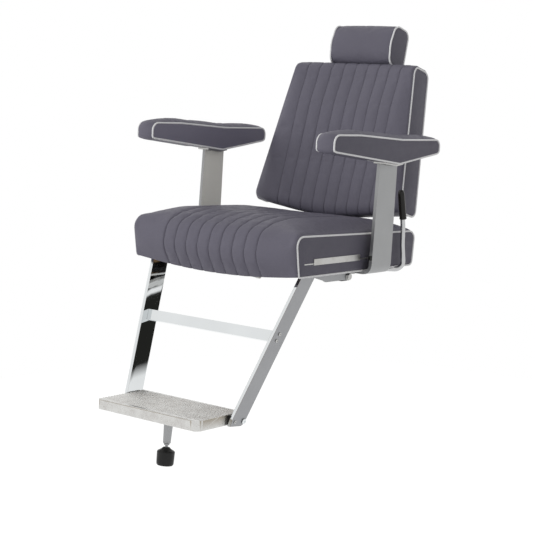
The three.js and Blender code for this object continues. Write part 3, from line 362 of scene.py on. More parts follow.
def bevelled(piece, width, segments=2, angle=32, finish=-1):
    modified(
        piece, "BEVEL", material=finish, width=width / 1000, segments=segments, limit_method="ANGLE",
        angle_limit=math.radians(angle), harden_normals=False, miter_outer="MITER_ARC")


def evened(piece):
    # flat faces keep flat shading up to their eased edges
    modified(piece, "WEIGHTED_NORMAL", mode="FACE_AREA", weight=100, keep_sharp=True)


def fitted(piece, node, *finish):
    # the piece stands for a CAD node and moves as it does
    paint(piece, *(finish or (slotMaterials[slotOf[node]],)))
    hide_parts(node)
    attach(piece, bodyOf[node])
    return piece


def blockIn(place, x0, x1, a0, a1, b0, b1, name="block"):
    # a box in the raked or the leaned frame
    bpy.ops.mesh.primitive_cube_add(size=2, location=(0, 0, 0))
    piece = bpy.context.object
    piece.name = name
    for vertex in piece.data.vertices:
        x, a, b = vertex.co
        vertex.co = place(x0 if x < 0 else x1, a0 if a < 0 else a1, b0 if b < 0 else b1)
    return piece


def rodTool(radius, depth, matrix, vertices=6):
    bpy.ops.mesh.primitive_cylinder_add(
        vertices=vertices, radius=radius / 1000, depth=depth / 1000, location=(0, 0, 0))
    tool = bpy.context.object
    tool.data.transform(matrix)
    return tool


def carved(piece, *tools, operation="DIFFERENCE"):
    for tool in tools:
        modified(piece, "BOOLEAN", object=tool, operation=operation, solver="EXACT")
    for tool in tools:
        bpy.data.objects.remove(tool, do_unlink=True)
    return piece


def joined(name, *pieces):
    only(pieces[0])
    for piece in pieces[1:]:
        piece.select_set(True)
    bpy.ops.object.join()
    pieces[0].name = name
    return pieces[0]


def refined(node, width, finish=None, edgeFinish=None):
    # a copy of a CAD node with merged faces, eased edges and smooth rounds
    piece = placed(f"{node}_worked", frame["nodes"][node].data.copy())
    for attribute in ("sharp_edge", "custom_normal"):
        if attribute in piece.data.attributes:
            piece.data.attributes.remove(piece.data.attributes[attribute])
    edited(piece, (bpy.ops.mesh.remove_doubles, {"threshold": 0.00002}),
           (bpy.ops.mesh.dissolve_limited, {"angle_limit": math.radians(0.8)}))
    finishes = [finish or slotMaterials[slotOf[node]]] + ([edgeFinish] if edgeFinish else [])
    paint(piece, *finishes)
    bevelled(piece, width, finish=len(finishes) - 1)
    rounded(piece)
    evened(piece)
    return fitted(piece, node, *finishes)


def turnedPiece(name, profile, matrix, steps=40):
    # spins a profile of (radius, height) about Z, then puts it in place
    points = [Vector((radius, 0, height)) / 1000 for radius, height in profile]
    piece = meshPiece(name, points, [(i, i + 1) for i in range(len(points) - 1)], [])
    edited(piece, (bpy.ops.mesh.spin, {
        "steps": steps, "angle": 2 * math.pi, "center": (0, 0, 0), "axis": (0, 0, 1)}))
    outward(piece)
    piece.data.transform(matrix)
    if matrix.determinant() < 0:
        piece.data.flip_normals()
    rounded(piece, 35)
    return piece


def along(direction, origin):
    # matrix that turns Z to a direction and moves to a place
    turn = Vector(direction).to_track_quat("Z", "Y").to_matrix().to_4x4()
    return Matrix.Translation(origin) @ turn


def filleted(corners, step=2.5):
    # a path through (x, u, w, radius) corners, with round bends
    points = [Vector(corners[0][:3])]
    for before, here, after in zip(corners, corners[1:], corners[2:]):
        corner = Vector(here[:3])
        toLast = (Vector(before[:3]) - corner).normalized()
        toNext = (Vector(after[:3]) - corner).normalized()
        half = toLast.angle(toNext) / 2
        reach = here[3] / math.tan(half)
        centre = corner + (toLast + toNext).normalized() * (here[3] / math.sin(half))
        start, end = corner + toLast * reach - centre, corner + toNext * reach - centre
        count = max(3, round(start.angle(end) * here[3] / step))
        points += [centre + start.slerp(end, i / count) * here[3] for i in range(count + 1)]
    return points + [Vector(corners[-1][:3])]


def tube(name, points, radius, closed=False, sides=5):
    # a round bar, cord or welt along points in metres
    curve = bpy.data.curves.new(name, "CURVE")
    curve.dimensions = "3D"
    curve.bevel_depth = radius / 1000
    curve.bevel_resolution = sides
    curve.use_fill_caps = not closed
    line = curve.splines.new("POLY")
    line.points.add(len(points) - 1)
    for spot, point in zip(line.points, points):
        spot.co = (*point, 1)
    line.use_cyclic_u = closed
    only(placed(name, curve))
    bpy.ops.object.convert(target="MESH")
    piece = bpy.context.object
    outward(piece)
    rounded(piece, 50)
    return piece


# padded pieces

stuffing = {"pressure": 4, "stiffness": 15, "bending": 0.5, "mass": 0.3, "quality": 4, "frames": 20}


def closedOutline(corners, spacing):
    # evenly spaced points round a polygon whose (a, b, radius) corners are round
    fine = []
    count = len(corners)
    for i, (a, b, radius) in enumerate(corners):
        corner = Vector((a, b))
        toLast = (Vector(corners[i - 1][:2]) - corner).normalized()
        toNext = (Vector(corners[(i + 1) % count][:2]) - corner).normalized()
        half = toLast.angle(toNext) / 2
        reach = radius / math.tan(half)
        centre = corner + (toLast + toNext).normalized() * (radius / math.sin(half))
        first, last = corner + toLast * reach - centre, corner + toNext * reach - centre
        turn = first.angle_signed(last)
        for k in range(17):
            spoke = first.copy()
            spoke.rotate(Matrix.Rotation(-turn * k / 16, 2))
            fine.append(centre + spoke)
    lengths = [(fine[(i + 1) % len(fine)] - fine[i]).length for i in range(len(fine))]
    total = sum(lengths)
    steps = round(total / spacing)
    points, runs = [], []
    i, passed = 0, 0.0
    for k in range(steps):
        target = total * k / steps
        while passed + lengths[i] < target:
            passed += lengths[i]
            i += 1
        share = (target - passed) / lengths[i]
        points.append(fine[i].lerp(fine[(i + 1) % len(fine)], share))
        runs.append(target)
    area = sum(points[i - 1].x * points[i].y - points[i].x * points[i - 1].y for i in range(steps))
    turnOut = 1 if area > 0 else -1
    normals = []
    for i in range(steps):
        ahead = points[(i + 1) % steps] - points[i - 1]
        normals.append(Vector((ahead.y, -ahead.x)).normalized() * turnOut)
    return points, normals, runs


def stationsAcross(half, seamPlaces, edge=(0, 0.6, 1.6, 3.2, 5.5, 9, 14)):
    # places across a pad, dense at its piped edges and on both sides of each seam
    places = set()
    for side in (-1, 1):
        places.update(side * (half - step) for step in edge)
    reach = max((abs(seam) for seam in seamPlaces), default=0)
    for seam in seamPlaces:
        for step in (0, 0.8, 1.8, 3.2, 5.5, 9, 13.5):
            places.update((seam - step, seam + step))
    inner = half - edge[-1]
    outer = reach + 13.5 if reach else 0
    count = max(2, round((inner - outer) / 8))
    for k in range(count + 1):
        spot = outer + (inner - outer) * k / count
        places.update((spot, -spot))
    ordered = sorted(places)
    kept = [ordered[0]]
    for spot in ordered[1:]:
        if spot - kept[-1] > 0.55:
            kept.append(spot)
    return kept


def channel(x, seamPlaces, pitch, depth, puff):
    # height of sewn channels at x, and how close the stitching is, from 0 to 1
    gap = min(abs(x - seam) for seam in seamPlaces)
    share = min(1, gap / (pitch / 2))
    crest = math.sqrt(max(0, 1 - (1 - share) ** 2))
    return puff * crest - depth * math.exp(-((gap / 2.2) ** 2)), math.exp(-((gap / 1.1) ** 2))


def weltPlace(spec, place, side, half, reach, a, b, normal):
    _, _, moveA, moveB = spec["lift"](side * reach, side, a, b, normal)
    tuck = spec["tuck"](normal)  # how far it lies on the side panel instead of on the corner
    out = 0.9 - 3.2 * tuck
    return place(side * (half - 0.3 + 0.9 * tuck), a + normal.x * out + moveA, b + normal.y * out + moveB)


def paddedPiece(name, spec, place):
    # A closed pad: a skin round its outline from piping to piping, and two domed side panels.
    # spec gives its corners, half width (a number or a function of b), stations and lift function.
    points, normals, runs = closedOutline(spec["corners"], spec["spacing"])
    stations = spec["stations"]
    middle = spec["half"](spec["corners"][0][1]) if callable(spec["half"]) else spec["half"]
    halfAt = spec["half"] if callable(spec["half"]) else (lambda b: middle)
    reach = stations[-1]
    ringSize = len(points)
    vertices, shades, distances = [], [], []
    for x in stations:
        s = x / reach
        for (a, b), normal, run in zip(points, normals, runs):
            height, stitch, moveA, moveB = spec["lift"](x, s, a, b, normal)
            across = spec["across"](x, b) if "across" in spec else s * halfAt(b)
            vertices.append(place(across, a + normal.x * height + moveA, b + normal.y * height + moveB))
            shades.append(stitch)
            distances.append(run / 1000)
    faces, panel = [], []
    rows = len(stations)
    for r in range(rows - 1):
        for k in range(ringSize):
            n = (k + 1) % ringSize
            here, there = r * ringSize, (r + 1) * ringSize
            faces.append((here + k, here + n, there + n, there + k))
    for side, row in ((-1, 0), (1, rows - 1)):
        previous = [row * ringSize + k for k in range(ringSize)]
        for inset, rise in spec.get("dome", ((1.2, -0.6), (3, 0.6), (5, 1.5), (7, 2.0))):
            ring = []
            for (a, b), normal in zip(points, normals):
                _, _, moveA, moveB = spec["lift"](side * reach, side, a, b, normal)
                ring.append(len(vertices))
                vertices.append(place(
                    side * (halfAt(b) + rise), a - normal.x * inset + moveA, b - normal.y * inset + moveB))
                shades.append(0)
                distances.append(0)
            for k in range(ringSize):
                n = (k + 1) % ringSize
                panel.append(len(faces))
                faces.append((previous[k], previous[n], ring[n], ring[k]))
            previous = ring
        panel.append(len(faces))
        faces.append(tuple(previous))
    piece = meshPiece(name, vertices, [], faces)
    for label, values in (("seamShade", shades), ("seamRun", distances)):
        piece.data.attributes.new(label, "FLOAT", "POINT").data.foreach_set("value", values)
    edited(piece, turnOut)
    sidePanels = set(panel)
    for face in piece.data.polygons:
        face.material_index = 1 if face.index in sidePanels else 0
        face.use_smooth = True
    paths = {}
    for word, side in sides:
        paths[word] = [
            weltPlace(spec, place, side, halfAt(b), reach, a, b, normal)
            for (a, b), normal in zip(points, normals)]
    return piece, paths


def swollen(piece, spec, held):
    # cloth under pressure between the stitched lines; its result is kept, capped
    rest = [vertex.co.copy() for vertex in piece.data.vertices]
    group = piece.vertex_groups.new(name="stitched")
    group.add(held, 1, "REPLACE")
    modifier = piece.modifiers.new("stuffing", "CLOTH")
    cloth = modifier.settings
    cloth.vertex_group_mass = "stitched"
    cloth.quality = stuffing["quality"]
    cloth.mass = stuffing["mass"]
    cloth.tension_stiffness = cloth.compression_stiffness = stuffing["stiffness"]
    cloth.bending_stiffness = stuffing["bending"]
    cloth.use_pressure = True
    cloth.uniform_pressure_force = stuffing["pressure"]
    cloth.effector_weights.gravity = 0
    cloth.shrink_min = -spec["slack"]
    modifier.collision_settings.use_collision = False
    modifier.point_cache.frame_start = 1
    modifier.point_cache.frame_end = stuffing["frames"]
    for step in range(1, stuffing["frames"] + 1):
        scene.frame_set(step)
    graph = bpy.context.evaluated_depsgraph_get()
    swelled = [vertex.co.copy() for vertex in piece.evaluated_get(graph).data.vertices]
    piece.modifiers.remove(modifier)
    cap = spec["cap"] / 1000
    largest = 0
    for vertex, before, after in zip(piece.data.vertices, rest, swelled):
        move = after - before
        largest = max(largest, move.length)
        if move.length > cap:
            move = move.normalized() * cap
        vertex.co = before + move
    piece.vertex_groups.clear()
    scene.frame_set(1)
    print(piece.name, "swelled by up to", round(largest * 1000, 1), "mm")


def swellPad(piece, spec):
    # piped edges, seams and the parts glued to a board stay where they are
    shade = [value.value for value in piece.data.attributes["seamShade"].data]
    points, normals, _ = closedOutline(spec["corners"], spec["spacing"])
    ringSize, rows = len(points), len(spec["stations"])
    held = []
    for row in range(rows):
        s = spec["stations"][row] / spec["stations"][-1]
        for k in range(ringSize):
            index = row * ringSize + k
            glued = spec["still"](points[k].x, points[k].y, normals[k])
            if abs(s) > 0.985 or shade[index] > 0.5 or glued:
                held.append(index)
    held += list(range(rows * ringSize, len(piece.data.vertices)))
    swollen(piece, spec, held)


def finishPad(piece, paths, node, spec, cutters, *finishes):
    carved(piece, *cutters)
    rounded(piece, 50)
    # painted shade: the side panels take the darker vinyl copy
    fitted(piece, node, *(finishes or ("vinyl", "sideVinyl")))
    for word, path in paths.items():
        welt = tube(f"{node}_piping_{word}", path, spec["piping"], closed=True, sides=4)
        paint(welt, "piping")
        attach(welt, bodyOf[node])


# seat cushion

seatFront, seatRear, seatTop = -308, 227, 103
seatSpec = {
    "corners": [(219, 0, 12), (seatRear, 93, 24), (seatFront, seatTop, 26), (-291, 0, 8)],
    "half": 270, "pitch": 38.5, "seams": 9, "depth": 1.8, "puff": 0.9, "spacing": 5,
    "crown": 27, "nose": 13, "roll": 6, "rollReach": 11, "sag": 19, "tucked": 13, "piping": 2.5,
    "hollow": 3, "hollowHalf": 95, "bullnose": 7, "bullnoseReach": 62, "fill": 0.95,
    "slack": 0.005, "cap": 3,
}
seatSpans = {  # where each form of the seat begins and ends
    "rise": (seatFront, -165), "fall": (20, seatRear), "sat": (-120, 45), "satEnd": (150, seatRear),
    "seamEnd": (195, 222), "rollEnd": (150, 222), "bolster": (154, 200), "tuckEnd": (-288, -203),
    "tuck": (-4, 40), "under": (0, 46),
}
seatSeams = [(k - 4) * seatSpec["pitch"] for k in range(seatSpec["seams"])]


def edgeRoll(x, half, reach):
    # rises steeply beside the piping and is level from there, 0 to 1
    gap = min(1, max(0, (half - abs(x)) / reach))
    return math.sqrt(1 - (1 - gap) ** 2)


def seatLiftAt(x, s, a, b, normal):
    spec, spans = seatSpec, seatSpans
    top = smooth(normal.y, 0.1, 0.9)
    front = smooth(-normal.x, 0.3, 0.95)
    low = 1 - smooth(b, *spans["under"])
    full = (1 - s ** 10) * (0.8 + 0.2 * (1 - s * s))
    alongSeat = (0.3 + 0.7 * smooth(a, *spans["rise"])) * (1 - 0.62 * smooth(a, *spans["fall"]))
    height = full * spec["crown"] * top * alongSeat
    sat = smooth(a, *spans["sat"]) * (1 - 0.4 * smooth(a, *spans["satEnd"]))
    height -= spec["hollow"] * top * sat * math.exp(-((x / spec["hollowHalf"]) ** 2))
    height += (1 - s ** 6) * (0.6 + 0.4 * (1 - s * s)) * spec["nose"] * front * math.sin(
        math.pi * min(1, max(0, b / seatTop)))
    reach = max(top * (1 - smooth(a, *spans["seamEnd"])), front)
    rolled = max(top * (1 - smooth(a, *spans["rollEnd"])), front)
    height += spec["roll"] * edgeRoll(x, spec["half"], spec["rollReach"]) * rolled
    sewn, stitch = channel(x, seatSeams, spec["pitch"], spec["depth"], spec["puff"])
    height += sewn * reach * (1 - smooth(abs(x), *spans["bolster"]) * (1 if sewn > 0 else 0))
    fore = 1 - smooth(a, *spans["tuckEnd"])
    tucked = (1 - s ** 4) * spec["tucked"] * (1 - smooth(b, *spans["tuck"])) * fore
    gap = math.hypot(a - seatFront, b - seatTop)  # from the corner that the nose rounds off
    inward = (1 - s ** 6) * spec["bullnose"] * smooth(spec["bullnoseReach"] - gap, 0, 50)
    sagged = low * fore * spec["sag"] * (1 - s * s)
    return height, stitch * reach, tucked + inward, -sagged - inward


seatSpec.update({
    "lift": seatLiftAt, "stations": stationsAcross(seatSpec["half"], seatSeams),
    "tuck": lambda normal: max(smooth(normal.y, 0.2, 0.8), smooth(-normal.x, 0.2, 0.8)),
    "still": lambda a, b, normal: normal.y < -0.2 or normal.x > 0.5,
})
seatPad, seatPaths = paddedPiece("seat_cushion_padded", seatSpec, raked)
swellPad(seatPad, seatSpec)
finishPad(seatPad, seatPaths, "seat_cushion", seatSpec, [
    blockIn(raked, -230, 230, -280, 200, -60, 28),
    blockIn(raked, 226, 261, -281, -184, -60, 38),
    blockIn(raked, -261, -226, -281, -184, -60, 38),
    blockIn(raked, -8, 8, 196, 240, -20, 4),
])
print("seat cushion done")

# back cushion

backFoot, backHigh = 111, 408
backSpec = {
    "corners": [(-94, backFoot, 24), (-15, backFoot, 20), (-18.5, 520, 18), (-94, 518, 24)],
    "seams": 9, "pitch": 39.7, "channelled": 173, "depth": 1.7, "puff": 0.9, "spacing": 5,
    "roll": 7, "rollReach": 11, "piping": 2.5, "fill": 0.95,
    "lowHalf": 251, "topHalf": 200, "skinHalf": 250, "sag": 31, "dished": 11, "dishHalf": 200,
    "bulge": [(0, -7), (0.12, -2), (0.3, -4), (0.5, -4), (0.72, -5), (0.9, -15), (1, -16)],
    "bolster": (159, 190), "seamTop": (40, 66), "footShare": 0.16, "thinner": (-70, -22),
    "slack": 0.005, "cap": 3,
}


def backHalf(q):
    return backSpec["lowHalf"] + (backSpec["topHalf"] - backSpec["lowHalf"]) * (q - backFoot) / backHigh


def backAcross(x, q):
    # the channels are parallel, only the bolsters beside them narrow upward
    inner = backSpec["channelled"]
    if abs(x) <= inner:
        return x
    bolster = (abs(x) - inner) * (backHalf(q) - inner) / (backSpec["skinHalf"] - inner)
    return math.copysign(inner + bolster, x)


backSeams = [(k - 4) * backSpec["pitch"] for k in range(backSpec["seams"])]


def backLiftAt(x, s, a, b, normal):
    spec = backSpec
    front = smooth(-normal.x, 0.2, 0.9)
    top = smooth(normal.y, 0.3, 0.95)
    share = (b - backFoot) / backHigh
    height = front * (1 - s ** 8) * (0.7 + 0.3 * (1 - s * s)) * curveThrough(share, spec["bulge"])
    height += front * spec["dished"] * smooth(abs(x), 0, spec["dishHalf"]) * (1 - s ** 10)
    height += max(front, 0.7 * top) * spec["roll"] * edgeRoll(x, spec["skinHalf"], spec["rollReach"])
    sewn, stitch = channel(x, backSeams, spec["pitch"], spec["depth"], spec["puff"])
    reach = max(front, top * smooth(-a, *spec["seamTop"]))
    height += sewn * reach * (1 - smooth(abs(x), *spec["bolster"]) * (1 if sewn > 0 else 0))
    height += top * (1 - s ** 6) * 1.5
    foot = (1 - smooth(share, 0, spec["footShare"])) * (1 - 0.4 * smooth(a, *spec["thinner"]))
    return height, stitch * reach, 0, -foot * spec["sag"] * (1 - abs(s) ** 1.5)


backSpec.update({
    "half": backHalf, "across": backAcross, "lift": backLiftAt,
    "stations": stationsAcross(backSpec["skinHalf"], backSeams),
    "tuck": lambda normal: max(smooth(-normal.x, 0.2, 0.8), 0.6 * smooth(normal.y, 0.2, 0.8)),
    "still": lambda a, b, normal: normal.x > 0.3,
})
backPad, backPaths = paddedPiece("back_cushion_padded", backSpec, leaned)
swellPad(backPad, backSpec)


def backCutter(inset, a0, a1, low, top):
    # a box that narrows upward as the back does
    piece = blockIn(leaned, -1, 1, a0, a1, low, top)
    for vertex in piece.data.vertices:
        side = 1 if vertex.co.x > 0 else -1
        high = vertex.co.z > leaned(0, (a0 + a1) / 2, (low + top) / 2).z
        vertex.co.x = side * (backHalf(top if high else low) - inset) / 1000
    return piece


finishPad(backPad, backPaths, "back_cushion", backSpec, [
    backCutter(22, -58, 0, 127, 503),
    backCutter(15.7, -26.3, 0, 123.7, 506.3),
    blockIn(leaned, -20.5, 20.5, -43, -30, 480, 545),
    blockIn(leaned, 67.8, 77.4, -46, 0, 80, 141),
    blockIn(leaned, -77.4, -67.8, -46, 0, 80, 141),
])
print("back cushion done")

# headrest

headSpec = {
    "corners": [(-73, 529, 24), (-2, 529, 14), (-8, 638, 22), (-77, 638, 24), (-86, 583, 70)],
    "half": 102, "piping": 2.4, "fill": 0.9, "spacing": 3.5, "crown": 4, "rear": 7, "high": 3,
    "dome": ((1.2, -0.6), (3, 0.3), (8, 1.1), (18, 1.6)),
    "slack": 0.01, "cap": 5,
}


def headLiftAt(x, s, a, b, normal):
    spec = headSpec
    full = (0.75 * (1 - s ** 6) + 0.25 * (1 - s * s)) * (0.6 + 0.4 * edgeRoll(x, spec["half"], 12))
    facing = normal.x * normal.x
    side = spec["crown"] if normal.x < 0 else spec["rear"]
    return full * (side * facing + spec["high"] * (1 - facing) * (1 if normal.y > 0 else 0.5)), 0, 0, 0


headSpec.update({
    "lift": headLiftAt, "stations": stationsAcross(headSpec["half"], []),
    "tuck": lambda normal: 0, "still": lambda a, b, normal: False,
})
headPad, headPaths = paddedPiece("headrest_cushion_padded", headSpec, leaned)
swellPad(headPad, headSpec)
finishPad(headPad, headPaths, "headrest_cushion", headSpec, [blockIn(leaned, -30, 30, -62, -12, 480, 606)])
print("headrest done")

# arm pads

armSpec = {
    "corners": [(50, 277, 8), (-243, 309, 10), (-243, 350, 20), (-130, 350, 60), (60, 339, 60),
                (238, 339, 17), (238, 303, 14)],
    "half": 26.5, "middle": 298.5, "piping": 2.4, "fill": 0.9, "spacing": 4,
    "crown": 10, "nose": 4, "roll": 2.5, "belly": 4,
    "dome": ((1, -0.4), (2.4, 0.4), (4.5, 1.0), (7, 1.3)),
    "slack": 0.01, "cap": 4,
}


def armLiftAt(x, s, a, b, normal):
    top = smooth(normal.y, 0.2, 0.95)
    ends = smooth(abs(normal.x), 0.35, 0.95)
    taper = 0.45 + 0.55 * smooth(min(a + 243, 238 - a), 0, 70)
    under = smooth(-normal.y, 0.5, 0.95) * (1 - smooth(a, -80, -45))
    height = armSpec["crown"] * top * taper + armSpec["nose"] * ends + armSpec["belly"] * under
    height *= 1 - s * s
    height += armSpec["roll"] * edgeRoll(x, armSpec["half"], 7) * max(top, ends)
    return height, 0, 0, 0


armSpec.update({
    "lift": armLiftAt, "stations": stationsAcross(armSpec["half"], [], edge=(0, 0.7, 1.8, 3.6, 6.5)),
    "tuck": lambda normal: 0.8 * smooth(-normal.y, 0.5, 0.9), "still": lambda a, b, normal: normal.y < -0.5,
})
for word, side in sides:
    def armPlace(x, a, b, middle=side * armSpec["middle"]):
        return raked(middle + x, a, b)

    armPad, armPaths = paddedPiece(f"arm_pad_{word}_padded", armSpec, armPlace)
    swellPad(armPad, armSpec)
    # painted light: the arm pads' inner side panels take the brighter vinyl copy
    for face in armPad.data.polygons:
        if face.material_index == 1 and face.center.x * side < armSpec["middle"] / 1000:
            face.material_index = 2
    finishPad(armPad, armPaths, f"arm_pad_{word}", armSpec, [], "vinyl", "sideVinyl", "innerVinyl")
print("arm pads done")

# plates, bars and frame, from their CAD solids

easedPlates = {  # edge width, finish and edge finish, which on the plated parts paints a dark reflection along the eased edges; a name that ends in _ is a left and a right
    "arm_post_": (1.3, "postSatin", "edge"), "arm_plate_": (0.5,), "leg_bar_": (1.0, "chrome", "edge"),
    "cross_bar": (0.9, "chrome", "edge"), "leg_bracket_": (0.9, "satin", "edge"),
    "trim_bar_": (0.5, "steel"), "stop_block_": (0.6,), "post_plug_": (0.8,), "base_plate": (0.6,),
    "seat_frame": (0.5,), "seat_board": (1.0,), "lever_bearing": (0.6,), "recline_cylinder": (0.5,),
    "cylinder_pin": (0.4,), "recline_rod": (0.4,), "valve_pin": (0.3,), "back_board": (1.0,),
    "back_shell": (1.2,), "back_hinge_arm_": (0.5,), "back_shaft": (0.4,), "stem_socket": (0.5,),
    "headrest_stem": (0.9, "chrome", "edge"), "tilt_bracket": (0.4,), "tilt_pin": (0.4,),
    "leg_shaft": (0.4,), "link_rod_": (0.4,),
}
for node, settings in easedPlates.items():
    for word in ("left", "right") if node.endswith("_") else ("",):
        refined(node + word, *settings)


def refaced(node, finish, facing, least):
    # gives the broad face that looks one way another finish: a lighter or darker copy that paints light or
    # shade on it
    piece = bpy.data.objects[f"{node}_worked"]
    piece.data.materials.append(materials[finish])
    for face in piece.data.polygons:
        if face.normal.x * facing > least and face.area > 0.001:
            face.material_index = 2


for word, side in sides:
    refaced(f"arm_post_{word}", "brushed", -side, 0.95)  # toward the sitter, painted light: the pale copy makes the inner face look lit
    refaced(f"leg_bar_{word}", "satin", side, 0.9)  # outward, painted shade: a darker dull copy of the metal on the chrome bar's outer face
print("plates eased")

# bolts and screws

boltSpec = {
    "cross_screw": {"head": 4.6, "high": 2.6, "shank": 2.4, "long": 16, "recess": 1.7},
    "tread_bolt": {"head": 7.2, "high": 3.2, "shank": 3.9, "long": 24, "recess": 2.8},
    "stop_pin": {"head": 4.2, "high": 2.2, "shank": 2.4, "long": 13, "recess": 1.5},
}
barSlope = 0.1993  # a leg bar leans out by this much for each millimetre up


def screwOn(node, spec):
    # round-headed screw with a six-sided recess, its head flat on the splayed bar
    low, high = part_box(node)
    side = 1 if low.x > 0 else -1
    centre = (low + high) / 2
    face = high.x if side > 0 else low.x
    flat = Vector((side, 0, -barSlope)).normalized()
    head, tall, shank = spec["head"], spec["high"], spec["shank"]
    origin = Vector((face - side * (tall + 0.9) / 1000, centre.y, centre.z))
    profile = [(0, -spec["long"]), (shank - 0.4, -spec["long"]), (shank, -spec["long"] + 0.5), (shank, 0),
               (head - 0.3, 0), (head, 0.3), (head, tall * 0.45), (head - 0.5, tall * 0.75),
               (head * 0.72, tall), (0, tall)]
    screw = turnedPiece(node + "_worked", profile, along(flat, origin), 36)
    carved(screw, rodTool(spec["recess"], 3, along(flat, origin + flat * (tall / 1000))))
    rounded(screw, 32)
    fitted(screw, node)


for kind, spec in boltSpec.items():
    for node in [name for name in frame["nodes"] if name.startswith(kind)]:
        screwOn(node, spec)


def hexBolt(node, direction, head, tall, washer, shank, length):
    # hexagon head with a turned top, on a washer
    low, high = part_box(node)
    centre = (low + high) / 2
    direction = Vector(direction).normalized()
    reach = (high - low).dot(Vector([abs(c) for c in direction])) / 2
    tip = centre + direction * reach
    origin = tip - direction * (tall + 1.6) / 1000
    body = turnedPiece(node + "_worked", [
        (0, -length), (shank - 0.6, -length), (shank, -length + 0.8), (shank, 0), (washer - 0.3, 0),
        (washer, 0.3), (washer, 1.3), (washer - 0.3, 1.6), (0, 1.6)], along(direction, origin), 36)
    cap = turnedPiece("cap", [(0, 1.2), (head + 1, 1.2), (head + 1, tall * 0.8), (head * 0.84, tall + 1.6),
                              (0, tall + 1.6)], along(direction, origin), 36)
    carved(cap, rodTool(head, 40, along(direction, origin)), operation="INTERSECT")
    bolt = joined(node + "_worked", body, cap)
    rounded(bolt, 30)
    fitted(bolt, node)


for word, side in sides:
    hexBolt(f"bracket_bolt_{word}", (side, 0, 0), 9.2, 4.9, 10.6, 5, 14)
    for place in ("inner", "outer"):
        down = raked(0, 0, -1) - raked(0, 0, 0)
        hexBolt(f"post_bolt_{place}_{word}", down, 7.2, 4.2, 8.4, 4, 14)
print("bolts done")

# recline lever

leverSpec = {"x": 290, "bar": 6.5, "spindle": 4, "axis": (84, -7.5), "grip": ((135, 129), (117, 206))}
leverPath = filleted([
    (leverSpec["x"], 119.7, 194.5, 0), (leverSpec["x"], 136.4, 112, 160),
    (leverSpec["x"], 138.5, 58, 120), (leverSpec["x"], 151, -7.5, 22),
    (207, *leverSpec["axis"], 24), (98, *leverSpec["axis"], 0)])
leverBar = tube("lever_bar", [raked(*point) for point in leverPath], leverSpec["bar"], sides=8)
spindlePath = [raked(x, *leverSpec["axis"]) for x in (100, 70, 38)]
spindle = tube("lever_spindle", spindlePath, leverSpec["spindle"], sides=6)
finger = blockIn(raked, 38, 46, 80, 88, -12.5, 8.5)
bevelled(finger, 0.6)
leverRod = joined("lever_rod_bent", leverBar, spindle, finger)
rounded(leverRod, 40)
fitted(leverRod, "lever_rod", "rod")

gripLow, gripTop = [raked(leverSpec["x"], *end) for end in leverSpec["grip"]]
gripLong = (gripTop - gripLow).length * 1000
gripPlace = along(gripTop - gripLow, gripLow)
gripPiece = turnedPiece("lever_grip_moulded", [
    (7.2, 1.5), (7.2, 0), (9.1, 0), (9.6, 0.8), (9.6, 3), (9.1, 4), (9.3, gripLong * 0.4),
    (9.0, gripLong - 14), (8.4, gripLong - 7), (7.2, gripLong - 2.6), (4.8, gripLong - 0.6),
    (0, gripLong + 0.5)], gripPlace, 40)
boreFloor = turnedPiece("bore", [(7.2, 1.5), (7.2, 60), (0, 60)], gripPlace, 40)
boreFloor.data.flip_normals()
grip = joined("lever_grip_moulded", gripPiece, boreFloor)
outward(grip)
rounded(grip, 40)
fitted(grip, "lever_grip")
print("lever done")

# tread

treadSpec = {
    "half": 166, "front": -528, "rear": -352, "top": -341, "thick": 27, "corner": 22, "farCorner": 9,
    "ribs": 15, "ribHigh": 2.2, "band": 13, "bays": ((84, 140), (22, 78)), "bay": (-519, -378), "skin": 7,
    "bore": 4.3, "pivot": (-367, -362),
}


def treadProfile():
    # side outline: flat underside, eased nose, ribbed top
    spec = treadSpec
    front, rear, top, high = [spec[word] for word in ("front", "rear", "top", "ribHigh")]
    low = top - spec["thick"]
    outline = [(rear, low + 2), (rear - 2, low), (front + 3, low), (front + 0.8, low + 0.9),
               (front, low + 3), (front, top - 2.5), (front + 0.8, top - 0.7), (front + 2.6, top)]
    start, end = front + spec["band"], rear - 12
    pitch = (end - start) / spec["ribs"]
    outline.append((start, top))
    for rib in range(spec["ribs"]):
        for share, drop in ((0.12, 1), (0.3, 1), (0.44, 0.35), (0.62, 0), (0.86, 0), (1, 0.35)):
            outline.append((start + pitch * (rib + share), top - drop * high))
    outline += [(end + 2, top), (rear - 5, top), (rear - 1.5, top - 1.2), (rear, top - 5)]
    return outline


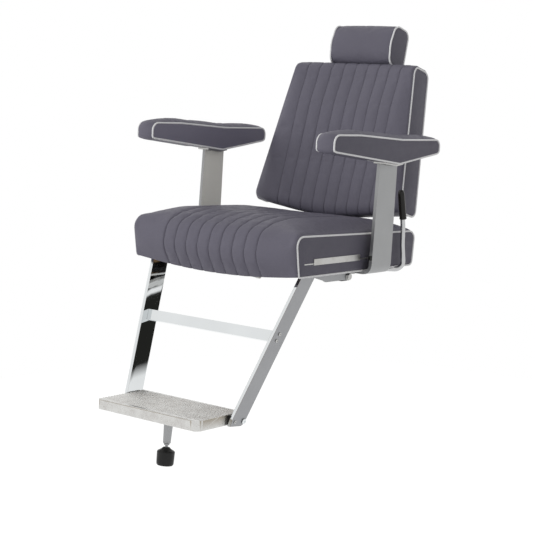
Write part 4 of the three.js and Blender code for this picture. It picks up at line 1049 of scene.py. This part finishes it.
def treadPiece():
    spec = treadSpec
    outline = treadProfile()
    points = [raked(-spec["half"], u, w) for u, w in outline]
    piece = meshPiece("tread_plate_ribbed", points, [], [tuple(range(len(outline)))])
    across = {"value": (2 * spec["half"] / 1000, 0, 0)}
    edited(piece, (bpy.ops.mesh.extrude_region_move, {"TRANSFORM_OT_translate": across}), turnOut)
    low = spec["top"] - spec["thick"]
    shaper = blockIn(raked, -spec["half"], spec["half"], spec["front"], spec["rear"] + 40,
                     low - 20, spec["top"] + 20)
    weights = shaper.data.attributes.new("bevel_weight_edge", "FLOAT", "EDGE")  # its two front corners
    for edge in shaper.data.edges:
        ends = [shaper.data.vertices[i].co for i in edge.vertices]
        upright = abs(ends[0].x - ends[1].x) < 0.001 and (ends[0] - ends[1]).length < 0.08
        share = 1 if ends[0].x > 0 else spec["farCorner"] / spec["corner"]
        weights.data[edge.index].value = share if upright and max(end.y for end in ends) < -0.5 else 0
    modified(shaper, "BEVEL", width=spec["corner"] / 1000, segments=14, limit_method="WEIGHT")
    carved(piece, shaper, operation="INTERSECT")
    hollow = [
        blockIn(raked, *sorted((side * near, side * far)), *spec["bay"], low - 5, spec["top"] - spec["skin"])
        for near, far in spec["bays"] for side in (1, -1)]
    bores = [
        rodTool(spec["bore"], 50, along((1, 0, 0), raked(side * spec["half"], *spec["pivot"])), 32)
        for side in (1, -1)]
    carved(piece, *hollow, *bores)
    bevelled(piece, 0.5, 2, 50)
    rounded(piece, 30)
    evened(piece)
    grooves = []
    for vertex in piece.data.vertices:  # painted shade, with dirt, at the bottom of the grooves
        below = (vertex.co - raked(0, 0, spec["top"])).dot(raked(0, 0, 1) - raked(0, 0, 0)) * 1e6
        grooves.append(1 if -spec["ribHigh"] - 0.3 < below < -spec["ribHigh"] * 0.55 else 0)
    piece.data.attributes.new("grooveShade", "FLOAT", "POINT").data.foreach_set("value", grooves)
    return fitted(piece, "tread_plate")


treadPiece()
print("tread done")

# foot

footSpec = {"u": -440, "lean": math.radians(4.5), "topRadius": 12.5, "gap": 0.3, "ball": -89, "bumper": 46}
treadFoot = treadSpec["top"] - treadSpec["thick"]
footHigh = treadFoot - footSpec["gap"] - footSpec["topRadius"] * math.sin(footSpec["lean"])
footTurn = rake + footSpec["lean"]
footBase = raked(0, footSpec["u"], footHigh)
footPlace = Matrix.Translation(footBase) @ Matrix.Rotation(-footTurn, 4, "X")
ballZ = footSpec["ball"]
stem = turnedPiece("foot_stem_turned", [
    (0, ballZ - 7), (3, ballZ - 6.4), (5.4, ballZ - 4.4), (6.8, ballZ - 1.6), (6.9, ballZ + 1),
    (5.9, ballZ + 3.8), (4.2, ballZ + 5.8), (3.6, ballZ + 7), (3.6, -80), (3.9, -79), (3.5, -78),
    (3.9, -77), (3.6, -75.5), (3.6, -74), (6.6, -74), (7.2, -73.4), (7.2, -70.6), (6.8, -70),
    (8.8, -69.6), (9.8, -68.6), (9.9, -65.6), (9.6, -65), (9.9, -64.4), (12.3, -4),
    (footSpec["topRadius"], -1), (12.2, 0), (6, 0.2), (6, 11), (0, 11)], footPlace, 48)
fitted(stem, "foot_stem", "postSatin")
bumperTop = ballZ + 9
bumperPiece = turnedPiece("rubber_bumper_moulded", [
    (0, bumperTop - footSpec["bumper"]), (16, bumperTop - footSpec["bumper"]),
    (19.4, bumperTop - 45.4), (21.2, bumperTop - 43.4), (22, bumperTop - 40), (22.4, bumperTop - 30),
    (22.6, bumperTop - 14.5), (22.9, bumperTop - 11.6), (22.4, bumperTop - 10.4),
    (20.6, bumperTop - 8.4), (19.4, bumperTop - 7.9), (15.6, bumperTop - 5.6), (13.6, bumperTop - 4.9),
    (12.8, bumperTop - 4.0), (10.2, bumperTop - 1.6), (8.8, bumperTop), (7.4, bumperTop),
    (6.2, ballZ + 7), (7.5, ballZ + 4.2), (7.5, ballZ - 9), (0, ballZ - 9)], footPlace, 56)
fitted(bumperPiece, "rubber_bumper")
print("foot done")

# floor, light and camera

studio = {
    "floorLow": -0.6, "floorRadius": 1.5, "floorColour": 0.68, "floorGlow": 1.2, "glowShare": 0.82,
    "away": (0.75, 0.62, -0.1), "middle": 0.8, "swing": 0.24, "zenith": 0.74,
    "cards": (0.66, 0.74, 0.085), "cardReach": (0.993, 0.9965), "cardColour": (0.02, 0.02, 0.018, 1),
    "gap": (0.0705, 0.0725), "gapEdge": 0.0015, "cardFoot": (0.018, 0.026),
    "dimmer": (0.61, -0.78, 0.15), "dimReach": (0.94, 0.985), "dimming": 0.8,
    "lightColour": (1, 0.995, 0.99, 1),
    "key": (-2.4, -3.4, 1.6), "keySize": 2.4, "keyPower": 50,
    "camera": (2.3716, -3.0660, 0.7136), "turn": (79.644, 0, 38.357), "lens": 97.57,
}


def mirroredRays(tree, *others):
    # 1 for rays that metal or glass sends on, and for the others named
    path = addNode(tree, "LightPath")
    total = path.outputs["Is Glossy Ray"]
    for name in ("Is Transmission Ray", *others):
        total = mathNode(tree, "MAXIMUM", total, path.outputs[name])
    return total


def makeFloor():
    bpy.ops.mesh.primitive_circle_add(
        vertices=96, radius=studio["floorRadius"], fill_type="NGON", location=(0, -0.1, studio["floorLow"]))
    floor = bpy.context.object
    floor.name = "floor"
    material = bpy.data.materials.new("paleFloor")
    material.use_nodes = True
    tree = material.node_tree
    tree.nodes.clear()
    grey = studio["floorColour"]
    diffuse = addNode(tree, "BsdfDiffuse", {"Color": (grey, grey, grey, 1)})
    glow = addNode(tree, "Emission", {"Color": (1, 1, 1, 1), "Strength": studio["floorGlow"]})
    seen = mirroredRays(tree, "Is Camera Ray")
    share = mathNode(tree, "MULTIPLY", seen, studio["glowShare"])
    mix = addNode(tree, "MixShader", {0: share, 1: diffuse.outputs[0], 2: glow.outputs[0]})
    output = tree.nodes.new("ShaderNodeOutputMaterial")
    tree.links.new(mix.outputs[0], output.inputs[0])
    floor.data.materials.append(material)


def toward(tree, direction, aim, low, high):
    # 0 to 1 as a direction comes close to the one aimed at
    facing = addNode(tree, "VectorMath", {0: direction, 1: tuple(Vector(aim).normalized())},
                     operation="DOT_PRODUCT").outputs["Value"]
    return addNode(tree, "MapRange", {"Value": facing, "From Min": low, "From Max": high},
                   interpolation_type="SMOOTHSTEP").outputs["Result"]


def product(tree, *factors):
    result = factors[0]
    for factor in factors[1:]:
        result = mathNode(tree, "MULTIPLY", result, factor)
    return result


def darkCards(tree, direction):
    # Two black cards low behind the sitter's left, one over the other, with a lit gap between them.
    height = addNode(tree, "SeparateXYZ", {0: direction}).outputs[2]
    low, high = studio["gap"]
    soft = studio["gapEdge"]
    over = spread(tree, height, 0, 1, low - soft, low)
    under = spread(tree, height, 1, 0, high, high + soft)
    gap = product(tree, over, under)
    shut = mathNode(tree, "SUBTRACT", 1, gap)
    above = spread(tree, height, 0, 1, *studio["cardFoot"])
    return product(tree, toward(tree, direction, studio["cards"], *studio["cardReach"]), shut, above)


def makeWorld():
    # White to the camera, and to metal apart from the black cards. The light that falls on the
    # chair is soft, brighter from the front and the sitter's right, and dimmer in one place ahead.
    world = bpy.data.worlds.new("studio")
    scene.world = world
    world.use_nodes = True
    tree = world.node_tree
    tree.nodes.clear()
    direction = addNode(tree, "TexCoord").outputs["Generated"]
    away = tuple(Vector(studio["away"]).normalized())
    facing = addNode(tree, "VectorMath", {0: direction, 1: away}, operation="DOT_PRODUCT").outputs["Value"]
    bright, dark = studio["middle"] + studio["swing"], studio["middle"] - studio["swing"]
    level = spread(tree, facing, bright, dark, -1, 1)
    height = addNode(tree, "SeparateXYZ", {0: direction}).outputs[2]
    level = product(tree, level, spread(tree, height, 1, studio["zenith"], 0.25, 0.95))
    dim = product(tree, toward(tree, direction, studio["dimmer"], *studio["dimReach"]), studio["dimming"])
    rest = mathNode(tree, "SUBTRACT", 1, dim)
    level = product(tree, level, rest)
    colour = blendColours(tree, darkCards(tree, direction), studio["lightColour"], studio["cardColour"])
    light = addNode(tree, "Background", {"Color": studio["lightColour"], "Strength": level})
    mirrored = addNode(tree, "Background", {"Color": colour, "Strength": 1})
    backdrop = addNode(tree, "Background", {"Color": (1, 1, 1, 1), "Strength": 1})
    lit = addNode(tree, "MixShader", {0: mirroredRays(tree), 1: light.outputs[0], 2: mirrored.outputs[0]})
    seen = addNode(tree, "LightPath").outputs["Is Camera Ray"]
    mix = addNode(tree, "MixShader", {0: seen, 1: lit.outputs[0], 2: backdrop.outputs[0]})
    output = tree.nodes.new("ShaderNodeOutputWorld")
    tree.links.new(mix.outputs[0], output.inputs[0])


def makeLight():
    lamp = bpy.data.lights.new("key", "AREA")
    lamp.shape = "DISK"
    lamp.size = studio["keySize"]
    lamp.energy = studio["keyPower"]
    holder = placed("key", lamp)
    holder.visible_glossy = False
    holder.location = studio["key"]
    aim = Vector((0, 0, 0.1)) - Vector(studio["key"])
    holder.rotation_euler = aim.to_track_quat("-Z", "Y").to_euler()


def makeCamera():
    lens = bpy.data.cameras.new("camera")
    lens.lens = studio["lens"]
    lens.sensor_width = 36
    holder = placed("camera", lens)
    holder.location = studio["camera"]
    holder.rotation_euler = [math.radians(angle) for angle in studio["turn"]]
    scene.camera = holder


makeFloor()
makeWorld()
makeLight()
makeCamera()
scene.view_settings.view_transform = "Standard"

print("scene ready")
